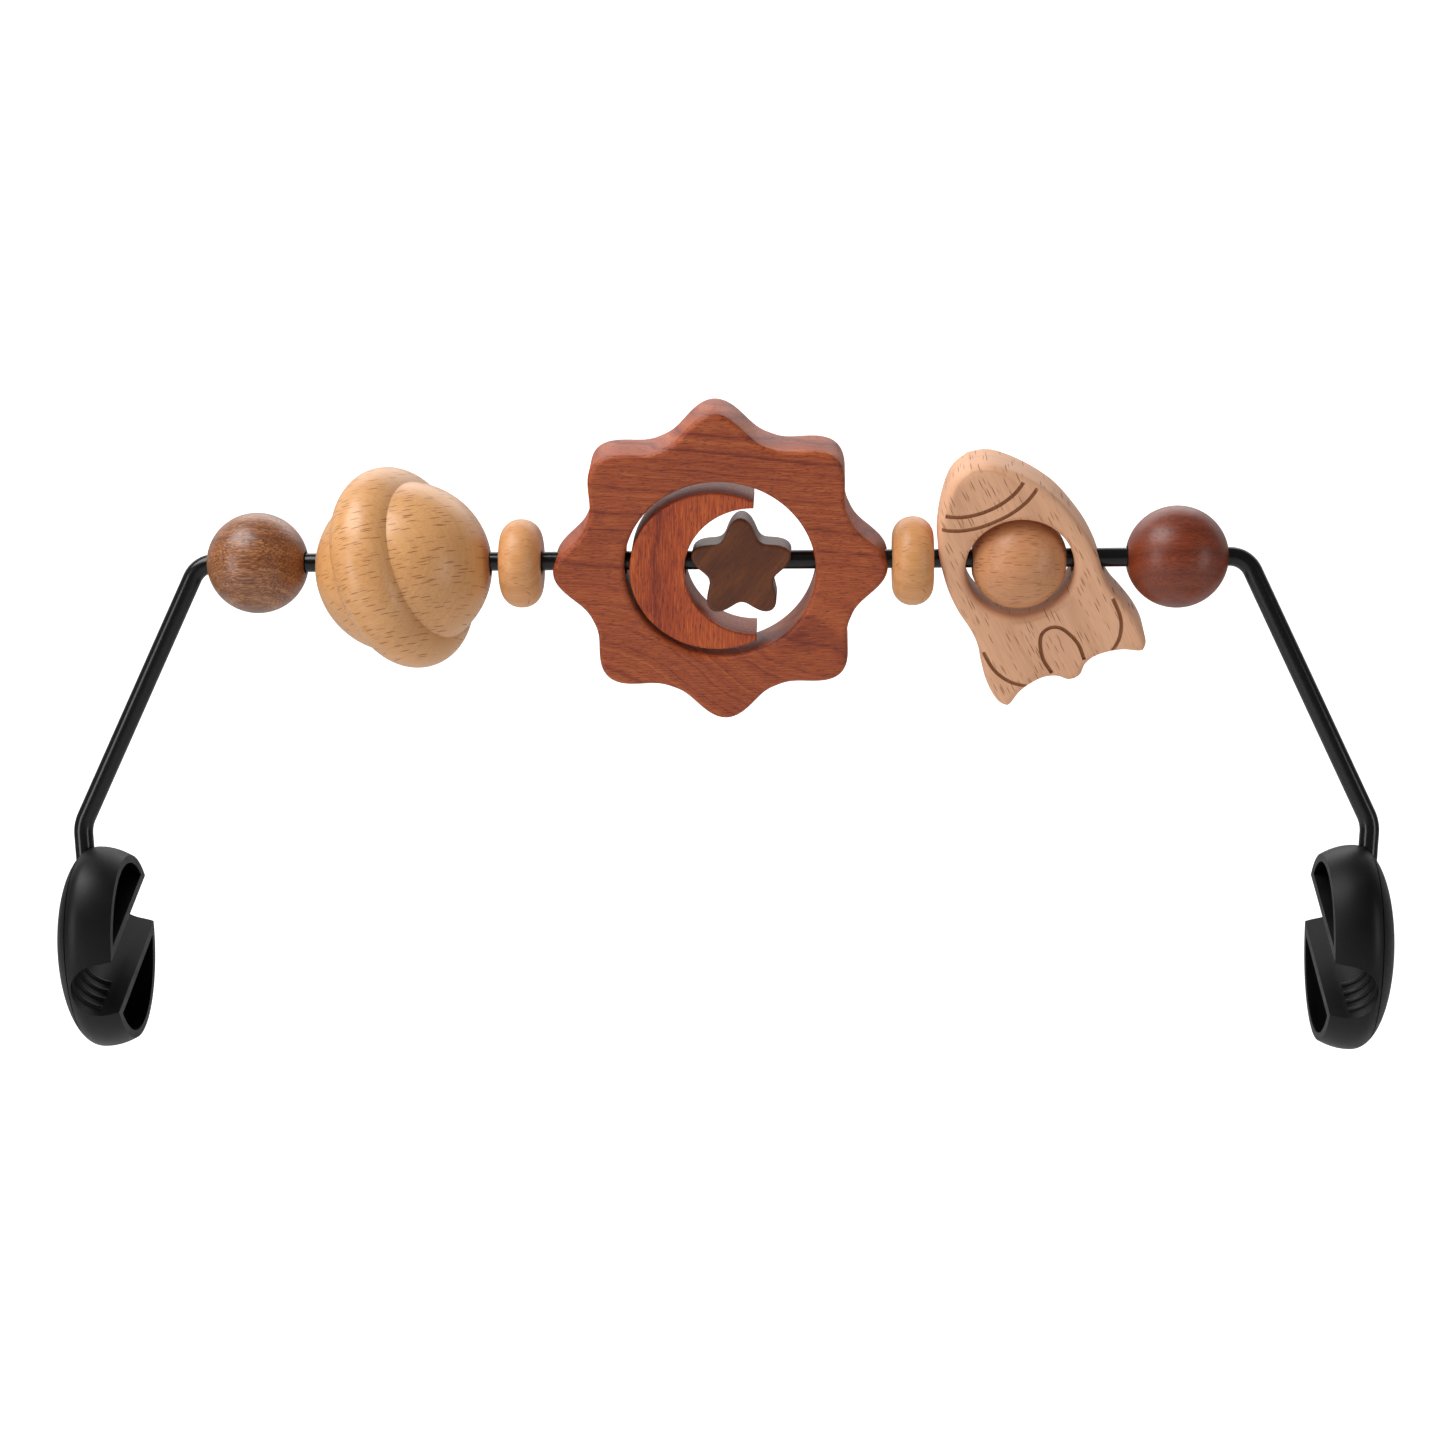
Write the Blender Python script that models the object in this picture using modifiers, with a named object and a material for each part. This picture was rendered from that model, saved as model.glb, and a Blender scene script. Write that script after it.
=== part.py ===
"""A toy bar for a baby bouncer: wooden space toys threaded on a black wire arch with a clamp at each end.

Metres, +Z up. +X runs along the bar, to the right of someone who stands in front of it, and +Y points
away from them. The origin is midway between the two clamps, on the line through the middle of their
channels, which is where the arch is held when it is pressed onto a bouncer's side tubes.
"""

import math

import bmesh
import bpy
import numpy as np
from mathutils import Matrix, Vector

MM = 0.001
X_AXIS = Vector((1, 0, 0))
Y_AXIS = Vector((0, 1, 0))
Z_AXIS = Vector((0, 0, 1))

# The arch. Its bar is as long as the row of toys and their play, and its corners are where the
# straight runs' centre lines cross. Heights are above the line through the clamps' channels.
WIRE_D = 6.0 * MM
ARM_DROP = 83.5 * MM
ARM_SPREAD = 38.5 * MM
FOOT_HEIGHT = 39.5 * MM
TOP_BEND_R = 8.0 * MM
FOOT_BEND_R = 12.0 * MM
TAIL_LEAN = math.radians(4.0)

# Fits. The toys are drilled well over the wire's size and hang on it, the end balls close to it.
RUNNING_GAP = 0.3 * MM
LOOSE_BORE_PLAY = 2.0 * MM
CLOSE_BORE_PLAY = 1.0 * MM
SOCKET_GAP = 0.3 * MM
CUT_OVERRUN = 2.0 * MM
WELD_DISTANCE = 0.002 * MM

# The play between the toys, as the photograph shows them, from left to right.
LEFT_BALL_TO_PLANET = 2.8 * MM
PLANET_TO_LEFT_RING = 3.0 * MM
LEFT_RING_TO_SUN = 4.0 * MM
SUN_TO_RIGHT_RING = 1.4 * MM
RIGHT_RING_TO_ROCKET = 1.2577 * MM
ROCKET_TO_RIGHT_BALL = 7.8577 * MM
RIGHT_BALL_TO_BEND = 2.4 * MM
MOUTH_OVER_BEND = 1.7 * MM

# The plain beads.
BALL_D = 32.0 * MM
RING_D = 28.0 * MM
RING_WIDTH = 13.0 * MM
RING_EDGE_R = 6.2 * MM

# The planet: two half balls with a fat ring between them, turned from one block.
PLANET_D = 53.8 * MM
PLANET_WAIST = 2.4 * MM
PLANET_RING_D = 65.0 * MM
PLANET_RING_ROUND_R = 11.0 * MM
PLANET_AZIMUTH = math.radians(-21.0)
PLANET_RISE = math.radians(13.0)
PLANET_BORE_RISE = 1.0 * MM

# The sun, cut from a board, with a round window.
SUN_TIP_R = 52.6 * MM
SUN_VALLEY_SHARE = 0.842
SUN_HOLE_SHARE = 0.572
SUN_TIPS = 8
SUN_THICKNESS = 15.2 * MM
SUN_EDGE_R = 1.6 * MM
SUN_RAY_POWER = 1.3
SUN_LEAN = math.radians(27.6)
SUN_DRILL_SLANT = math.radians(0.8)

# The crescent moon that turns inside the window. Its shares are of its own radius.
MOON_GAP = 3.1 * MM
MOON_OFF_CENTRE = -1.5 * MM
MOON_BORE_RISE = 0.9 * MM
MOON_INNER_SHARE = 0.807
MOON_SHIFT_SHARE = 0.448
MOON_CUT_SHARE = 0.463
MOON_THICKNESS = 12.5 * MM
MOON_EDGE_R = 0.6 * MM
MOON_LEAN = math.radians(27.5)

# The star beside it, on the same bar. Its shares are of the window's radius.
STAR_TIP_SHARE = 0.542
STAR_OFF_CENTRE_SHARE = 0.223
STAR_VALLEY_SHARE = 0.656
STAR_TIPS = 5
STAR_THICKNESS = 13.0 * MM
STAR_EDGE_R = 1.0 * MM
STAR_BORE_RISE = 1.0 * MM
STAR_RAY_POWER = 1.15
STAR_LEAN = math.radians(15.5)

# The rocket, drilled aslant, with a round porthole that holds a ball.
ROCKET_NOSE = 38.5 * MM
ROCKET_TAIL = 43.8 * MM
ROCKET_HALF_WIDTH = 26.0 * MM
ROCKET_THICKNESS = 15.5 * MM
ROCKET_EDGE_R = 2.5 * MM
ROCKET_SLANT = math.radians(25.6)
ROCKET_LEAN = math.radians(29.7)
ROCKET_SHOULDER_SHARES = (0.43, 0.78)
PORTHOLE_SHARE = 0.65
PORTHOLE_PLAY = 1.7 * MM
GROOVE_R = 0.75 * MM
GROOVE_DEPTH = 0.5 * MM

# A clamp. Depths run outward from its inner face, which looks at the other clamp.
CLAMP_HALF_DEPTH = 26.0 * MM
CLAMP_HALF_HEIGHT = 33.4 * MM
CLAMP_LEAN = math.radians(19.7)
CLAMP_BACK_SHIFT = 3.5 * MM
RIM_WIDTH = 9.6 * MM
DOME_DEPTH = 12.0 * MM
CORE_DEPTH = 15.0 * MM
CLAMP_WALL = 3.0 * MM
CLAMP_TAPER_SHARE = 0.085
DOME_POWER = 2.2
WIRE_FROM_INNER_FACE = 14.5 * MM
SOCKET_FLOOR = 4.7 * MM
BOSS_R = 6.2 * MM

# The channel that takes the bouncer's side tube.
CHANNEL_WIDTH = 18.4 * MM
CHANNEL_DEPTH = 13.5 * MM
CHANNEL_SLOPE = math.radians(32.0)
RIB_COUNT = 4
RIB_PITCH = 4.0 * MM
RIB_R = 0.9 * MM
RIB_SUNK_SHARE = 0.25
RIB_HALF_SWEEP = math.radians(80)
FIRST_RIB_FROM_CENTRE = -7.0 * MM

# How finely round shapes are cut.
BALL_STEPS = 28
BALL_ROWS = 14
RIM_ROWS = 5
PLANET_STEPS = 36
CAP_ROWS = 9
OVAL_STEPS = 40
DOME_ROWS = 8
CORE_ROWS = 5
HOLE_STEPS = 40
BORE_STEPS = 16
SOCKET_STEPS = 20
BEND_STEPS = 7
RAY_STEPS = 10
ARC_STEPS = 34
INNER_ARC_STEPS = 22
FLOOR_STEPS = 10
OUTLINE_STEPS = 3
LINE_STEPS = 2
HALVINGS = 40
WIRE_ROUNDNESS = 4
SMALL_ROUNDNESS = 1
SHARP_OVER = math.radians(35)

WIRE_R = WIRE_D / 2
BORE_R = (WIRE_D + LOOSE_BORE_PLAY) / 2
CLOSE_BORE_R = (WIRE_D + CLOSE_BORE_PLAY) / 2
HANG = BORE_R - WIRE_R - RUNNING_GAP
BAR_HEIGHT = FOOT_HEIGHT + ARM_DROP
SUN_HOLE_R = SUN_TIP_R * SUN_HOLE_SHARE
MOON_R = SUN_HOLE_R - MOON_GAP
STAR_TIP_R = SUN_HOLE_R * STAR_TIP_SHARE
PORTHOLE_R = ROCKET_HALF_WIDTH * PORTHOLE_SHARE
PLANET_REACH = PLANET_D / 2 + PLANET_WAIST / 2
SHOULDER_ALONG, SHOULDER_ACROSS = ROCKET_SHOULDER_SHARES
ROCKET_REACH = SHOULDER_ALONG * ROCKET_NOSE * math.sin(ROCKET_SLANT)
ROCKET_REACH += SHOULDER_ACROSS * ROCKET_HALF_WIDTH * math.cos(ROCKET_SLANT)
SOCKET_FLOOR_HEIGHT = CHANNEL_WIDTH / 2 / math.cos(CHANNEL_SLOPE) + SOCKET_FLOOR
SOCKET_HEIGHTS = (CHANNEL_WIDTH / 2, SOCKET_FLOOR_HEIGHT, CLAMP_HALF_HEIGHT + CUT_OVERRUN)

# The row on the bar, from the left bend: each toy's reach to either side of its middle, and the play
# after it.
ROW = [
    ("left_ball", BALL_D / 2, LEFT_BALL_TO_PLANET),
    ("planet", PLANET_REACH, PLANET_TO_LEFT_RING),
    ("left_ring_bead", RING_WIDTH / 2, LEFT_RING_TO_SUN),
    ("sun", SUN_TIP_R, SUN_TO_RIGHT_RING),
    ("right_ring_bead", RING_WIDTH / 2, RIGHT_RING_TO_ROCKET),
    ("rocket", ROCKET_REACH, ROCKET_TO_RIGHT_BALL),
    ("right_ball", BALL_D / 2, RIGHT_BALL_TO_BEND),
]
ROW_LENGTH = sum(2 * reach + play for _, reach, play in ROW)
BALL_MOUTH = math.sqrt((BALL_D / 2) ** 2 - CLOSE_BORE_R**2)
BALL_PAST_BEND = MOUTH_OVER_BEND + BALL_D / 2 - BALL_MOUTH
TOP_BEND_TURN = math.atan2(ARM_DROP, ARM_SPREAD)
BAR_LENGTH = ROW_LENGTH + 2 * (TOP_BEND_R * math.tan(TOP_BEND_TURN / 2) - BALL_PAST_BEND)


def clear_scene():
    for thing in list(bpy.data.objects):
        bpy.data.objects.remove(thing, do_unlink=True)


def new_collection(name):
    made = bpy.data.collections.new(name)
    bpy.context.scene.collection.children.link(made)
    return made


def principled(name, colour, roughness):
    made = bpy.data.materials.new(name)
    made.use_nodes = True
    shader = made.node_tree.nodes["Principled BSDF"]
    shader.inputs["Base Color"].default_value = (*colour, 1)
    shader.inputs["Roughness"].default_value = roughness
    made.diffuse_color = (*colour, 1)
    return made


def add_object(name, data, collection, material=None):
    """An object of this mesh or curve, in the collection, with its material."""
    made = bpy.data.objects.new(name, data)
    collection.objects.link(made)
    if material:
        data.materials.append(material)
    return made


def smooth(piece):
    piece.data.shade_smooth()
    piece.data.set_sharp_from_angle(angle=SHARP_OVER)


def mesh_from(name, build):
    """A mesh made by a function that fills a bmesh."""
    cage = bmesh.new()
    build(cage)
    bmesh.ops.recalc_face_normals(cage, faces=cage.faces)
    made = bpy.data.meshes.new(name)
    cage.to_mesh(made)
    cage.free()
    return made


def as_mesh_object(source, collection, material=None):
    """Replaces a curve, or an object with modifiers, by its evaluated mesh, with the caps welded."""
    bpy.context.view_layer.update()
    evaluated = source.evaluated_get(bpy.context.evaluated_depsgraph_get())
    made = bpy.data.meshes.new_from_object(evaluated)
    cage = bmesh.new()
    cage.from_mesh(made)
    bmesh.ops.remove_doubles(cage, verts=cage.verts, dist=WELD_DISTANCE)
    bmesh.ops.recalc_face_normals(cage, faces=cage.faces)
    cage.to_mesh(made)
    cage.free()
    name, place = source.name, source.matrix_world.copy()
    bpy.data.objects.remove(source, do_unlink=True)
    made.materials.clear()
    piece = add_object(name, made, collection, material)
    piece.matrix_world = place
    return piece


def bake_place(piece, place):
    """Moves an object's mesh by a matrix and leaves the object itself where it is."""
    piece.data.transform(place)
    if place.determinant() < 0:
        piece.data.flip_normals()


def boolean(piece, tool, operation):
    step = piece.modifiers.new(tool.name, "BOOLEAN")
    step.operation = operation
    step.solver = "EXACT"
    step.object = tool


def hide_tool(tool):
    tool.hide_render = True
    tool.display_type = "WIRE"


def rod(name, radius, start, end, steps=BORE_STEPS):
    """A round cutter between two points."""
    start, end = Vector(start), Vector(end)
    run = end - start
    turn = Z_AXIS.rotation_difference(run.normalized()).to_matrix().to_4x4()
    place = Matrix.Translation((start + end) / 2) @ turn

    def build(cage):
        bmesh.ops.create_cone(
            cage,
            cap_ends=True,
            segments=steps,
            radius1=radius,
            radius2=radius,
            depth=run.length,
            matrix=place,
        )

    tool = add_object(name, mesh_from(name, build), cutters)
    hide_tool(tool)
    return tool


def bar_bore(piece, half_reach, radius=BORE_R):
    """Drills a piece right through along X, at its origin."""
    reach = half_reach + CUT_OVERRUN
    tool = rod(piece.name + "_bore", radius, -X_AXIS * reach, X_AXIS * reach)
    tool.matrix_world = piece.matrix_world
    boolean(piece, tool, "DIFFERENCE")


def on_bar(piece, x, hang, turn=None):
    """Hangs a piece on the bar. Its origin is on its own bore's axis, which it turns about."""
    place = Matrix.Translation((x, 0, BAR_HEIGHT - hang))
    piece.matrix_world = place @ turn if turn else place


def leaning(angle):
    """Turned about the bar so that the top comes toward the front."""
    return Matrix.Rotation(angle, 4, "X")


def turned_about_x(name, profile, material, collection, steps=BALL_STEPS):
    """A turned piece: (along, radius) points from the left end to the right end, spun about X."""
    outline = bpy.data.meshes.new(name)
    points = [(along, 0, radius) for along, radius in profile]
    edges = [(k, k + 1) for k in range(len(points) - 1)]
    outline.from_pydata(points, edges, [])
    piece = add_object(name, outline, collection)
    spin = piece.modifiers.new("turning", "SCREW")
    spin.axis = "X"
    spin.angle = math.tau
    spin.steps = steps
    spin.render_steps = steps
    spin.use_merge_vertices = True
    spin.merge_threshold = WELD_DISTANCE
    return as_mesh_object(piece, collection, material)


def half_turn_profile(radius, rows):
    """Points round a half circle, from the left pole to the right one."""
    angles = np.linspace(0, math.pi, rows + 1)
    return [(-radius * math.cos(t), radius * abs(math.sin(t))) for t in angles]


def flat_piece(name, outlines, thickness, edge_r, material):
    """A board sawn to closed outlines in the XZ plane, any inner one a window, with its edges eased."""
    curve = bpy.data.curves.new(name, "CURVE")
    curve.dimensions = "2D"
    curve.fill_mode = "BOTH"
    curve.extrude = thickness / 2 - edge_r
    curve.bevel_depth = edge_r
    curve.bevel_resolution = SMALL_ROUNDNESS
    curve.offset = -edge_r
    for outline in outlines:
        run = curve.splines.new("POLY")
        run.points.add(len(outline) - 1)
        for point, (x, z) in zip(run.points, outline):
            point.co = (x, z, 0, 1)
        run.use_cyclic_u = True
    board = add_object(name, curve, toys)
    piece = as_mesh_object(board, toys, material)
    bake_place(piece, Matrix.Rotation(math.radians(90), 4, "X"))
    return piece


def circle_outline(radius):
    angles = [math.tau * k / HOLE_STEPS for k in range(HOLE_STEPS)]
    return [(radius * math.cos(t), radius * math.sin(t)) for t in angles]


def rayed_outline(tip_r, valley_r, tips, power, turn=0.0, drop=0.0):
    """A round outline with even rounded rays, one of them up.

    The radius runs between the valley's and the tip's as a raised cosine, and a power over 1 makes
    the tips slimmer than the valleys.
    """
    outline = []
    for k in range(tips * RAY_STEPS):
        angle = math.tau * k / (tips * RAY_STEPS)
        swell = ((1 + math.cos(tips * angle)) / 2) ** power
        radius = valley_r + (tip_r - valley_r) * swell
        outline.append((radius * math.sin(angle + turn), radius * math.cos(angle + turn) - drop))
    return outline


def make_ball(name, diameter, material, bore_r=BORE_R):
    profile = half_turn_profile(diameter / 2, BALL_ROWS)
    ball = turned_about_x(name, profile, material, toys)
    bar_bore(ball, diameter / 2, bore_r)
    smooth(ball)
    return ball


def make_ring_bead(name, material):
    """A short cylinder with its rims fully rounded over."""
    half, edge = RING_WIDTH / 2, RING_EDGE_R
    core_r = RING_D / 2 - edge
    angles = [math.pi / 2 * k / RIM_ROWS for k in range(RIM_ROWS + 1)]
    left = [(-half + edge - edge * math.cos(t), core_r + edge * math.sin(t)) for t in angles]
    right = [(-along, radius) for along, radius in reversed(left)]
    profile = [(-half, 0), *left, *right, (half, 0)]
    bead = turned_about_x(name, profile, material, toys)
    bar_bore(bead, half)
    smooth(bead)
    return bead


def planet_profile():
    """The outer line of two half balls and a fat ring: at each place along, whichever stands higher."""
    ball_r, half_waist = PLANET_D / 2, PLANET_WAIST / 2
    round_r = PLANET_RING_ROUND_R
    round_centre = PLANET_RING_D / 2 - round_r

    def ball_height(along):
        past = max(abs(along) - half_waist, 0)
        return math.sqrt(max(ball_r**2 - past**2, 0))

    def ring_height(along):
        inside = round_r**2 - along**2
        return round_centre + math.sqrt(inside) if inside > 0 else 0

    low, high = 0.0, round_r
    for _ in range(HALVINGS):
        middle = (low + high) / 2
        low, high = (middle, high) if ring_height(middle) > ball_height(middle) else (low, middle)
    groove = low
    start = math.acos((groove - half_waist) / ball_r)
    cap = [start * k / CAP_ROWS for k in range(CAP_ROWS + 1)]
    right = [(half_waist + ball_r * math.cos(t), ball_r * math.sin(t)) for t in cap]
    top = math.acos(groove / round_r)
    sweep = [top + (math.pi / 2 - top) * k / RIM_ROWS for k in range(1, RIM_ROWS + 1)]
    ring = [(round_r * math.cos(t), round_centre + round_r * math.sin(t)) for t in sweep]
    half = right + ring
    left = [(-along, radius) for along, radius in half[:-1]]
    return left + half[::-1]


def make_planet(material):
    """Turned about its own axis, then drilled aslant to it along the bar."""
    planet = turned_about_x("planet", planet_profile(), material, toys, PLANET_STEPS)
    pole = Matrix.Rotation(PLANET_AZIMUTH, 4, "Z") @ Matrix.Rotation(-PLANET_RISE, 4, "Y")
    bake_place(planet, Matrix.Translation((0, 0, -PLANET_BORE_RISE)) @ pole)
    bar_bore(planet, PLANET_RING_D / 2)
    smooth(planet)
    return planet


def make_sun(material):
    valley_r = SUN_TIP_R * SUN_VALLEY_SHARE
    outer = rayed_outline(SUN_TIP_R, valley_r, SUN_TIPS, SUN_RAY_POWER, turn=-SUN_DRILL_SLANT)
    sun = flat_piece("sun", [outer, circle_outline(SUN_HOLE_R)], SUN_THICKNESS, SUN_EDGE_R, material)
    bar_bore(sun, SUN_TIP_R)
    smooth(sun)
    return sun


def moon_outline():
    """A large arc on the left and a smaller one shifted right, both ended on a straight upright cut."""
    inner_r, shift = MOON_R * MOON_INNER_SHARE, MOON_R * MOON_SHIFT_SHARE
    cut = MOON_R * MOON_CUT_SHARE
    outer_end = math.acos(cut / MOON_R)
    inner_end = math.acos((cut - shift) / inner_r)
    outer_sweep = np.linspace(outer_end, math.tau - outer_end, ARC_STEPS + 1)
    inner_sweep = np.linspace(math.tau - inner_end, inner_end, INNER_ARC_STEPS + 1)
    outer = [(MOON_R * math.cos(t), MOON_R * math.sin(t)) for t in outer_sweep]
    inner = [(shift + inner_r * math.cos(t), inner_r * math.sin(t)) for t in inner_sweep]
    return [(x, z - MOON_BORE_RISE) for x, z in outer + inner]


def make_moon(material):
    moon = flat_piece("moon", [moon_outline()], MOON_THICKNESS, MOON_EDGE_R, material)
    bar_bore(moon, SUN_HOLE_R)
    smooth(moon)
    return moon


def make_star(material):
    valley_r = STAR_TIP_R * STAR_VALLEY_SHARE
    outer = rayed_outline(STAR_TIP_R, valley_r, STAR_TIPS, STAR_RAY_POWER, drop=STAR_BORE_RISE)
    star = flat_piece("star", [outer], STAR_THICKNESS, STAR_EDGE_R, material)
    bar_bore(star, STAR_TIP_R)
    smooth(star)
    return star


def rocket_outline():
    """One side of the rocket from the nose to the middle fin, as shares, then its mirror image.

    The first share is of the nose's reach ahead of the porthole's centre, or behind it of the
    tail's, and the second is of the half width. A smooth curve is drawn through the points of each
    run, and the runs meet in the rocket's real corners.
    """
    side_shares = [(1.0, 0.0), (0.955, 0.22), (0.85, 0.4), (0.655, 0.615)]
    side_shares += [ROCKET_SHOULDER_SHARES]
    side_shares += [(0.12, 0.885), (-0.1, 0.905), (-0.3, 0.875), (-0.44, 0.885)]
    side_shares += [(-0.57, 0.94), (-0.72, 0.99), (-0.85, 1.0), (-0.95, 0.97), (-1.0, 0.9)]
    tail_shares = [(-1.0, 0.9), (-0.985, 0.83), (-0.93, 0.68), (-0.9, 0.5), (-0.895, 0.33)]
    tail_shares += [(-0.925, 0.19), (-0.985, 0.09), (-1.0, 0.0)]

    def place(share):
        along, across = share
        reach = ROCKET_NOSE if along > 0 else ROCKET_TAIL
        return across * ROCKET_HALF_WIDTH, along * reach

    side = smooth_run([place(share) for share in side_shares], OUTLINE_STEPS)
    tail = smooth_run([place(share) for share in tail_shares], OUTLINE_STEPS)
    right = side[:-1] + tail
    left = mirrored(right[1:-1])
    slant = Matrix.Rotation(ROCKET_SLANT, 2)
    turned = [slant @ Vector(point) for point in right + left]
    return [(p.x, p.y) for p in turned]


def smooth_run(points, steps):
    """A curve through the points, each span a cubic whose end slopes come from its neighbours."""
    p = np.array(points)
    p = np.array([2 * p[0] - p[1], *p, 2 * p[-1] - p[-2]])
    made = []
    for k in range(1, len(p) - 2):
        a, b, c, d = p[k - 1 : k + 3]
        for t in np.linspace(0, 1, steps, endpoint=False):
            made.append(
                0.5 * (2 * b + (c - a) * t + (2 * a - 5 * b + 4 * c - d) * t**2)
                + 0.5 * (3 * b - a - 3 * c + d) * t**3
            )
    made.append(p[-2])
    return [(float(x), float(z)) for x, z in made]


def burnt_lines():
    """The rocket's burnt-in lines, in shares of its half width, as (across, along) from the porthole.

    Two bows ahead of the porthole, an arch behind it, and a line down each outer fin.
    """
    upper_shares = [(-0.5, 1.055), (-0.35, 0.97), (-0.175, 0.92), (0.0, 0.905)]
    lower_shares = [(-0.615, 0.91), (-0.43, 0.81), (-0.215, 0.75), (0.0, 0.735)]
    arch_shares = [(-0.215, -1.46), (-0.23, -1.2), (-0.14, -0.94), (0.0, -0.865)]
    fin_shares = [(-0.84, -0.9), (-0.82, -1.155), (-0.72, -1.36), (-0.62, -1.45)]
    middle = [half + mirrored(half[:-1]) for half in (upper_shares, lower_shares, arch_shares)]
    return [*middle, fin_shares, mirrored(fin_shares)]


def mirrored(points):
    """The same points on the other side, in reverse order."""
    return [(-across, along) for across, along in reversed(points)]


def burn_line(piece, name, line_shares):
    """A shallow round-bottomed groove in the rocket's front face."""
    points = [(x * ROCKET_HALF_WIDTH, z * ROCKET_HALF_WIDTH) for x, z in line_shares]
    depth = GROOVE_R - GROOVE_DEPTH - ROCKET_THICKNESS / 2
    places = [(x, depth, z) for x, z in smooth_run(points, LINE_STEPS)]
    groove = tube(name, places, GROOVE_R, SMALL_ROUNDNESS)
    bake_place(groove, Matrix.Rotation(-ROCKET_SLANT, 4, "Y"))
    hide_tool(groove)
    groove.matrix_world = piece.matrix_world
    boolean(piece, groove, "DIFFERENCE")


def tube(name, places, radius, roundness):
    """A round bar that follows a line, with closed ends."""
    curve = bpy.data.curves.new(name, "CURVE")
    curve.dimensions = "3D"
    curve.bevel_depth = radius
    curve.bevel_resolution = roundness
    curve.use_fill_caps = True
    line = curve.splines.new("POLY")
    line.points.add(len(places) - 1)
    for point, place in zip(line.points, places):
        point.co = (*place, 1)
    return as_mesh_object(add_object(name, curve, cutters), cutters)


def make_rocket(material):
    hole = circle_outline(PORTHOLE_R)
    rocket = flat_piece(
        "rocket", [rocket_outline(), hole], ROCKET_THICKNESS, ROCKET_EDGE_R, material
    )
    bar_bore(rocket, ROCKET_NOSE)
    for k, line in enumerate(burnt_lines(), 1):
        burn_line(rocket, f"burnt_line_{k}", line)
    smooth(rocket)
    return rocket


def tail_direction(side):
    return Vector((-side * math.sin(TAIL_LEAN), 0, -math.cos(TAIL_LEAN)))


def foot_corner(side):
    return Vector((side * (BAR_LENGTH / 2 + ARM_SPREAD), 0, FOOT_HEIGHT))


def tail_at_height(side, height):
    """The point of a tail's centre line at a height above the grip line."""
    corner, run = foot_corner(side), tail_direction(side)
    return corner + run * ((height - corner.z) / run.z)


def bent_corner(before, corner, after, radius):
    """The points of an arc that takes a wire round a corner."""
    turn = (corner - before).angle(after - corner)
    into = (corner - before).normalized()
    out = (after - corner).normalized()
    centre = corner + (out - into).normalized() * (radius / math.cos(turn / 2))
    start = corner - into * radius * math.tan(turn / 2) - centre
    normal = into.cross(out).normalized()
    return [
        centre + Matrix.Rotation(turn * k / BEND_STEPS, 3, normal) @ start
        for k in range(BEND_STEPS + 1)
    ]


def wire_end(side):
    """The end of the wire, just off the floor of its socket."""
    return tail_at_height(side, SOCKET_FLOOR_HEIGHT + SOCKET_GAP)


def arch_route():
    """The wire's centre line, from the left socket over the bar to the right socket."""
    top = [Vector((side * BAR_LENGTH / 2, 0, BAR_HEIGHT)) for side in (-1, 1)]
    corners = [foot_corner(-1), *top, foot_corner(1)]
    radii = [FOOT_BEND_R, TOP_BEND_R, TOP_BEND_R, FOOT_BEND_R]
    run = [wire_end(-1), *corners, wire_end(1)]
    route = [run[0]]
    for k, radius in enumerate(radii, 1):
        route += bent_corner(run[k - 1], run[k], run[k + 1], radius)
    return route + [run[-1]]


def make_wire(material):
    route = arch_route()
    wire = tube("wire_arch", route, WIRE_R, WIRE_ROUNDNESS)
    wire.data.materials.append(material)
    cutters.objects.unlink(wire)
    toys.objects.link(wire)
    smooth(wire)
    return wire


def clamp_origin():
    """The right clamp's origin, at grip height, below where the wire enters it. Its X is outward."""
    return tail_at_height(1, CLAMP_HALF_HEIGHT).project(X_AXIS)


def clamp_swell(depth, crown):
    """The clamp's height at a depth from its inner face, as a share of its full height."""
    if depth <= RIM_WIDTH:
        return 1 - CLAMP_TAPER_SHARE * (1 - max(depth, 0) / RIM_WIDTH) ** 2
    past = min((depth - RIM_WIDTH) / (crown - RIM_WIDTH), 1.0)
    return (1 - past**DOME_POWER) ** (1 / DOME_POWER)


def clamp_body(name, shrink, start, crown, rows, collection, material=None):
    """The domed oval of the clamp, or the same set in by a wall, from a depth to its crown."""
    half_height = CLAMP_HALF_HEIGHT - shrink
    rises = [math.sin(math.pi / 2 * k / rows) for k in range(1, rows)]
    rim = [start, 0.0, RIM_WIDTH / 2, RIM_WIDTH] if start else [start, RIM_WIDTH / 2, RIM_WIDTH]
    depths = rim + [RIM_WIDTH + (crown - RIM_WIDTH) * rise for rise in rises]
    skin = [(depth, half_height * clamp_swell(depth, crown)) for depth in depths]
    profile = [(start, 0), *skin, (crown, 0)]
    body = turned_about_x(name, profile, material, collection, steps=OVAL_STEPS)
    narrow = (CLAMP_HALF_DEPTH - shrink) / (CLAMP_HALF_HEIGHT - shrink)
    to_wire = Matrix.Translation((-WIRE_FROM_INNER_FACE, CLAMP_BACK_SHIFT, 0))
    lean = Matrix.Rotation(CLAMP_LEAN, 4, "X")
    bake_place(body, to_wire @ lean @ Matrix.Diagonal((1, narrow, 1, 1)))
    return body


def channel_turn():
    """Turns a shape laid along Y so that it climbs to the back at the channel's slope."""
    return Matrix.Rotation(CHANNEL_SLOPE, 4, "X")


def floor_arc(radius, half_sweep):
    """Points round the channel's floor, in the plane across it, as (outward, across)."""
    centre = CHANNEL_DEPTH - WIRE_FROM_INNER_FACE - CHANNEL_WIDTH / 2
    angles = [half_sweep * (1 - 2 * k / FLOOR_STEPS) for k in range(FLOOR_STEPS + 1)]
    return [(centre + radius * math.cos(t), radius * math.sin(t)) for t in angles]


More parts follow.
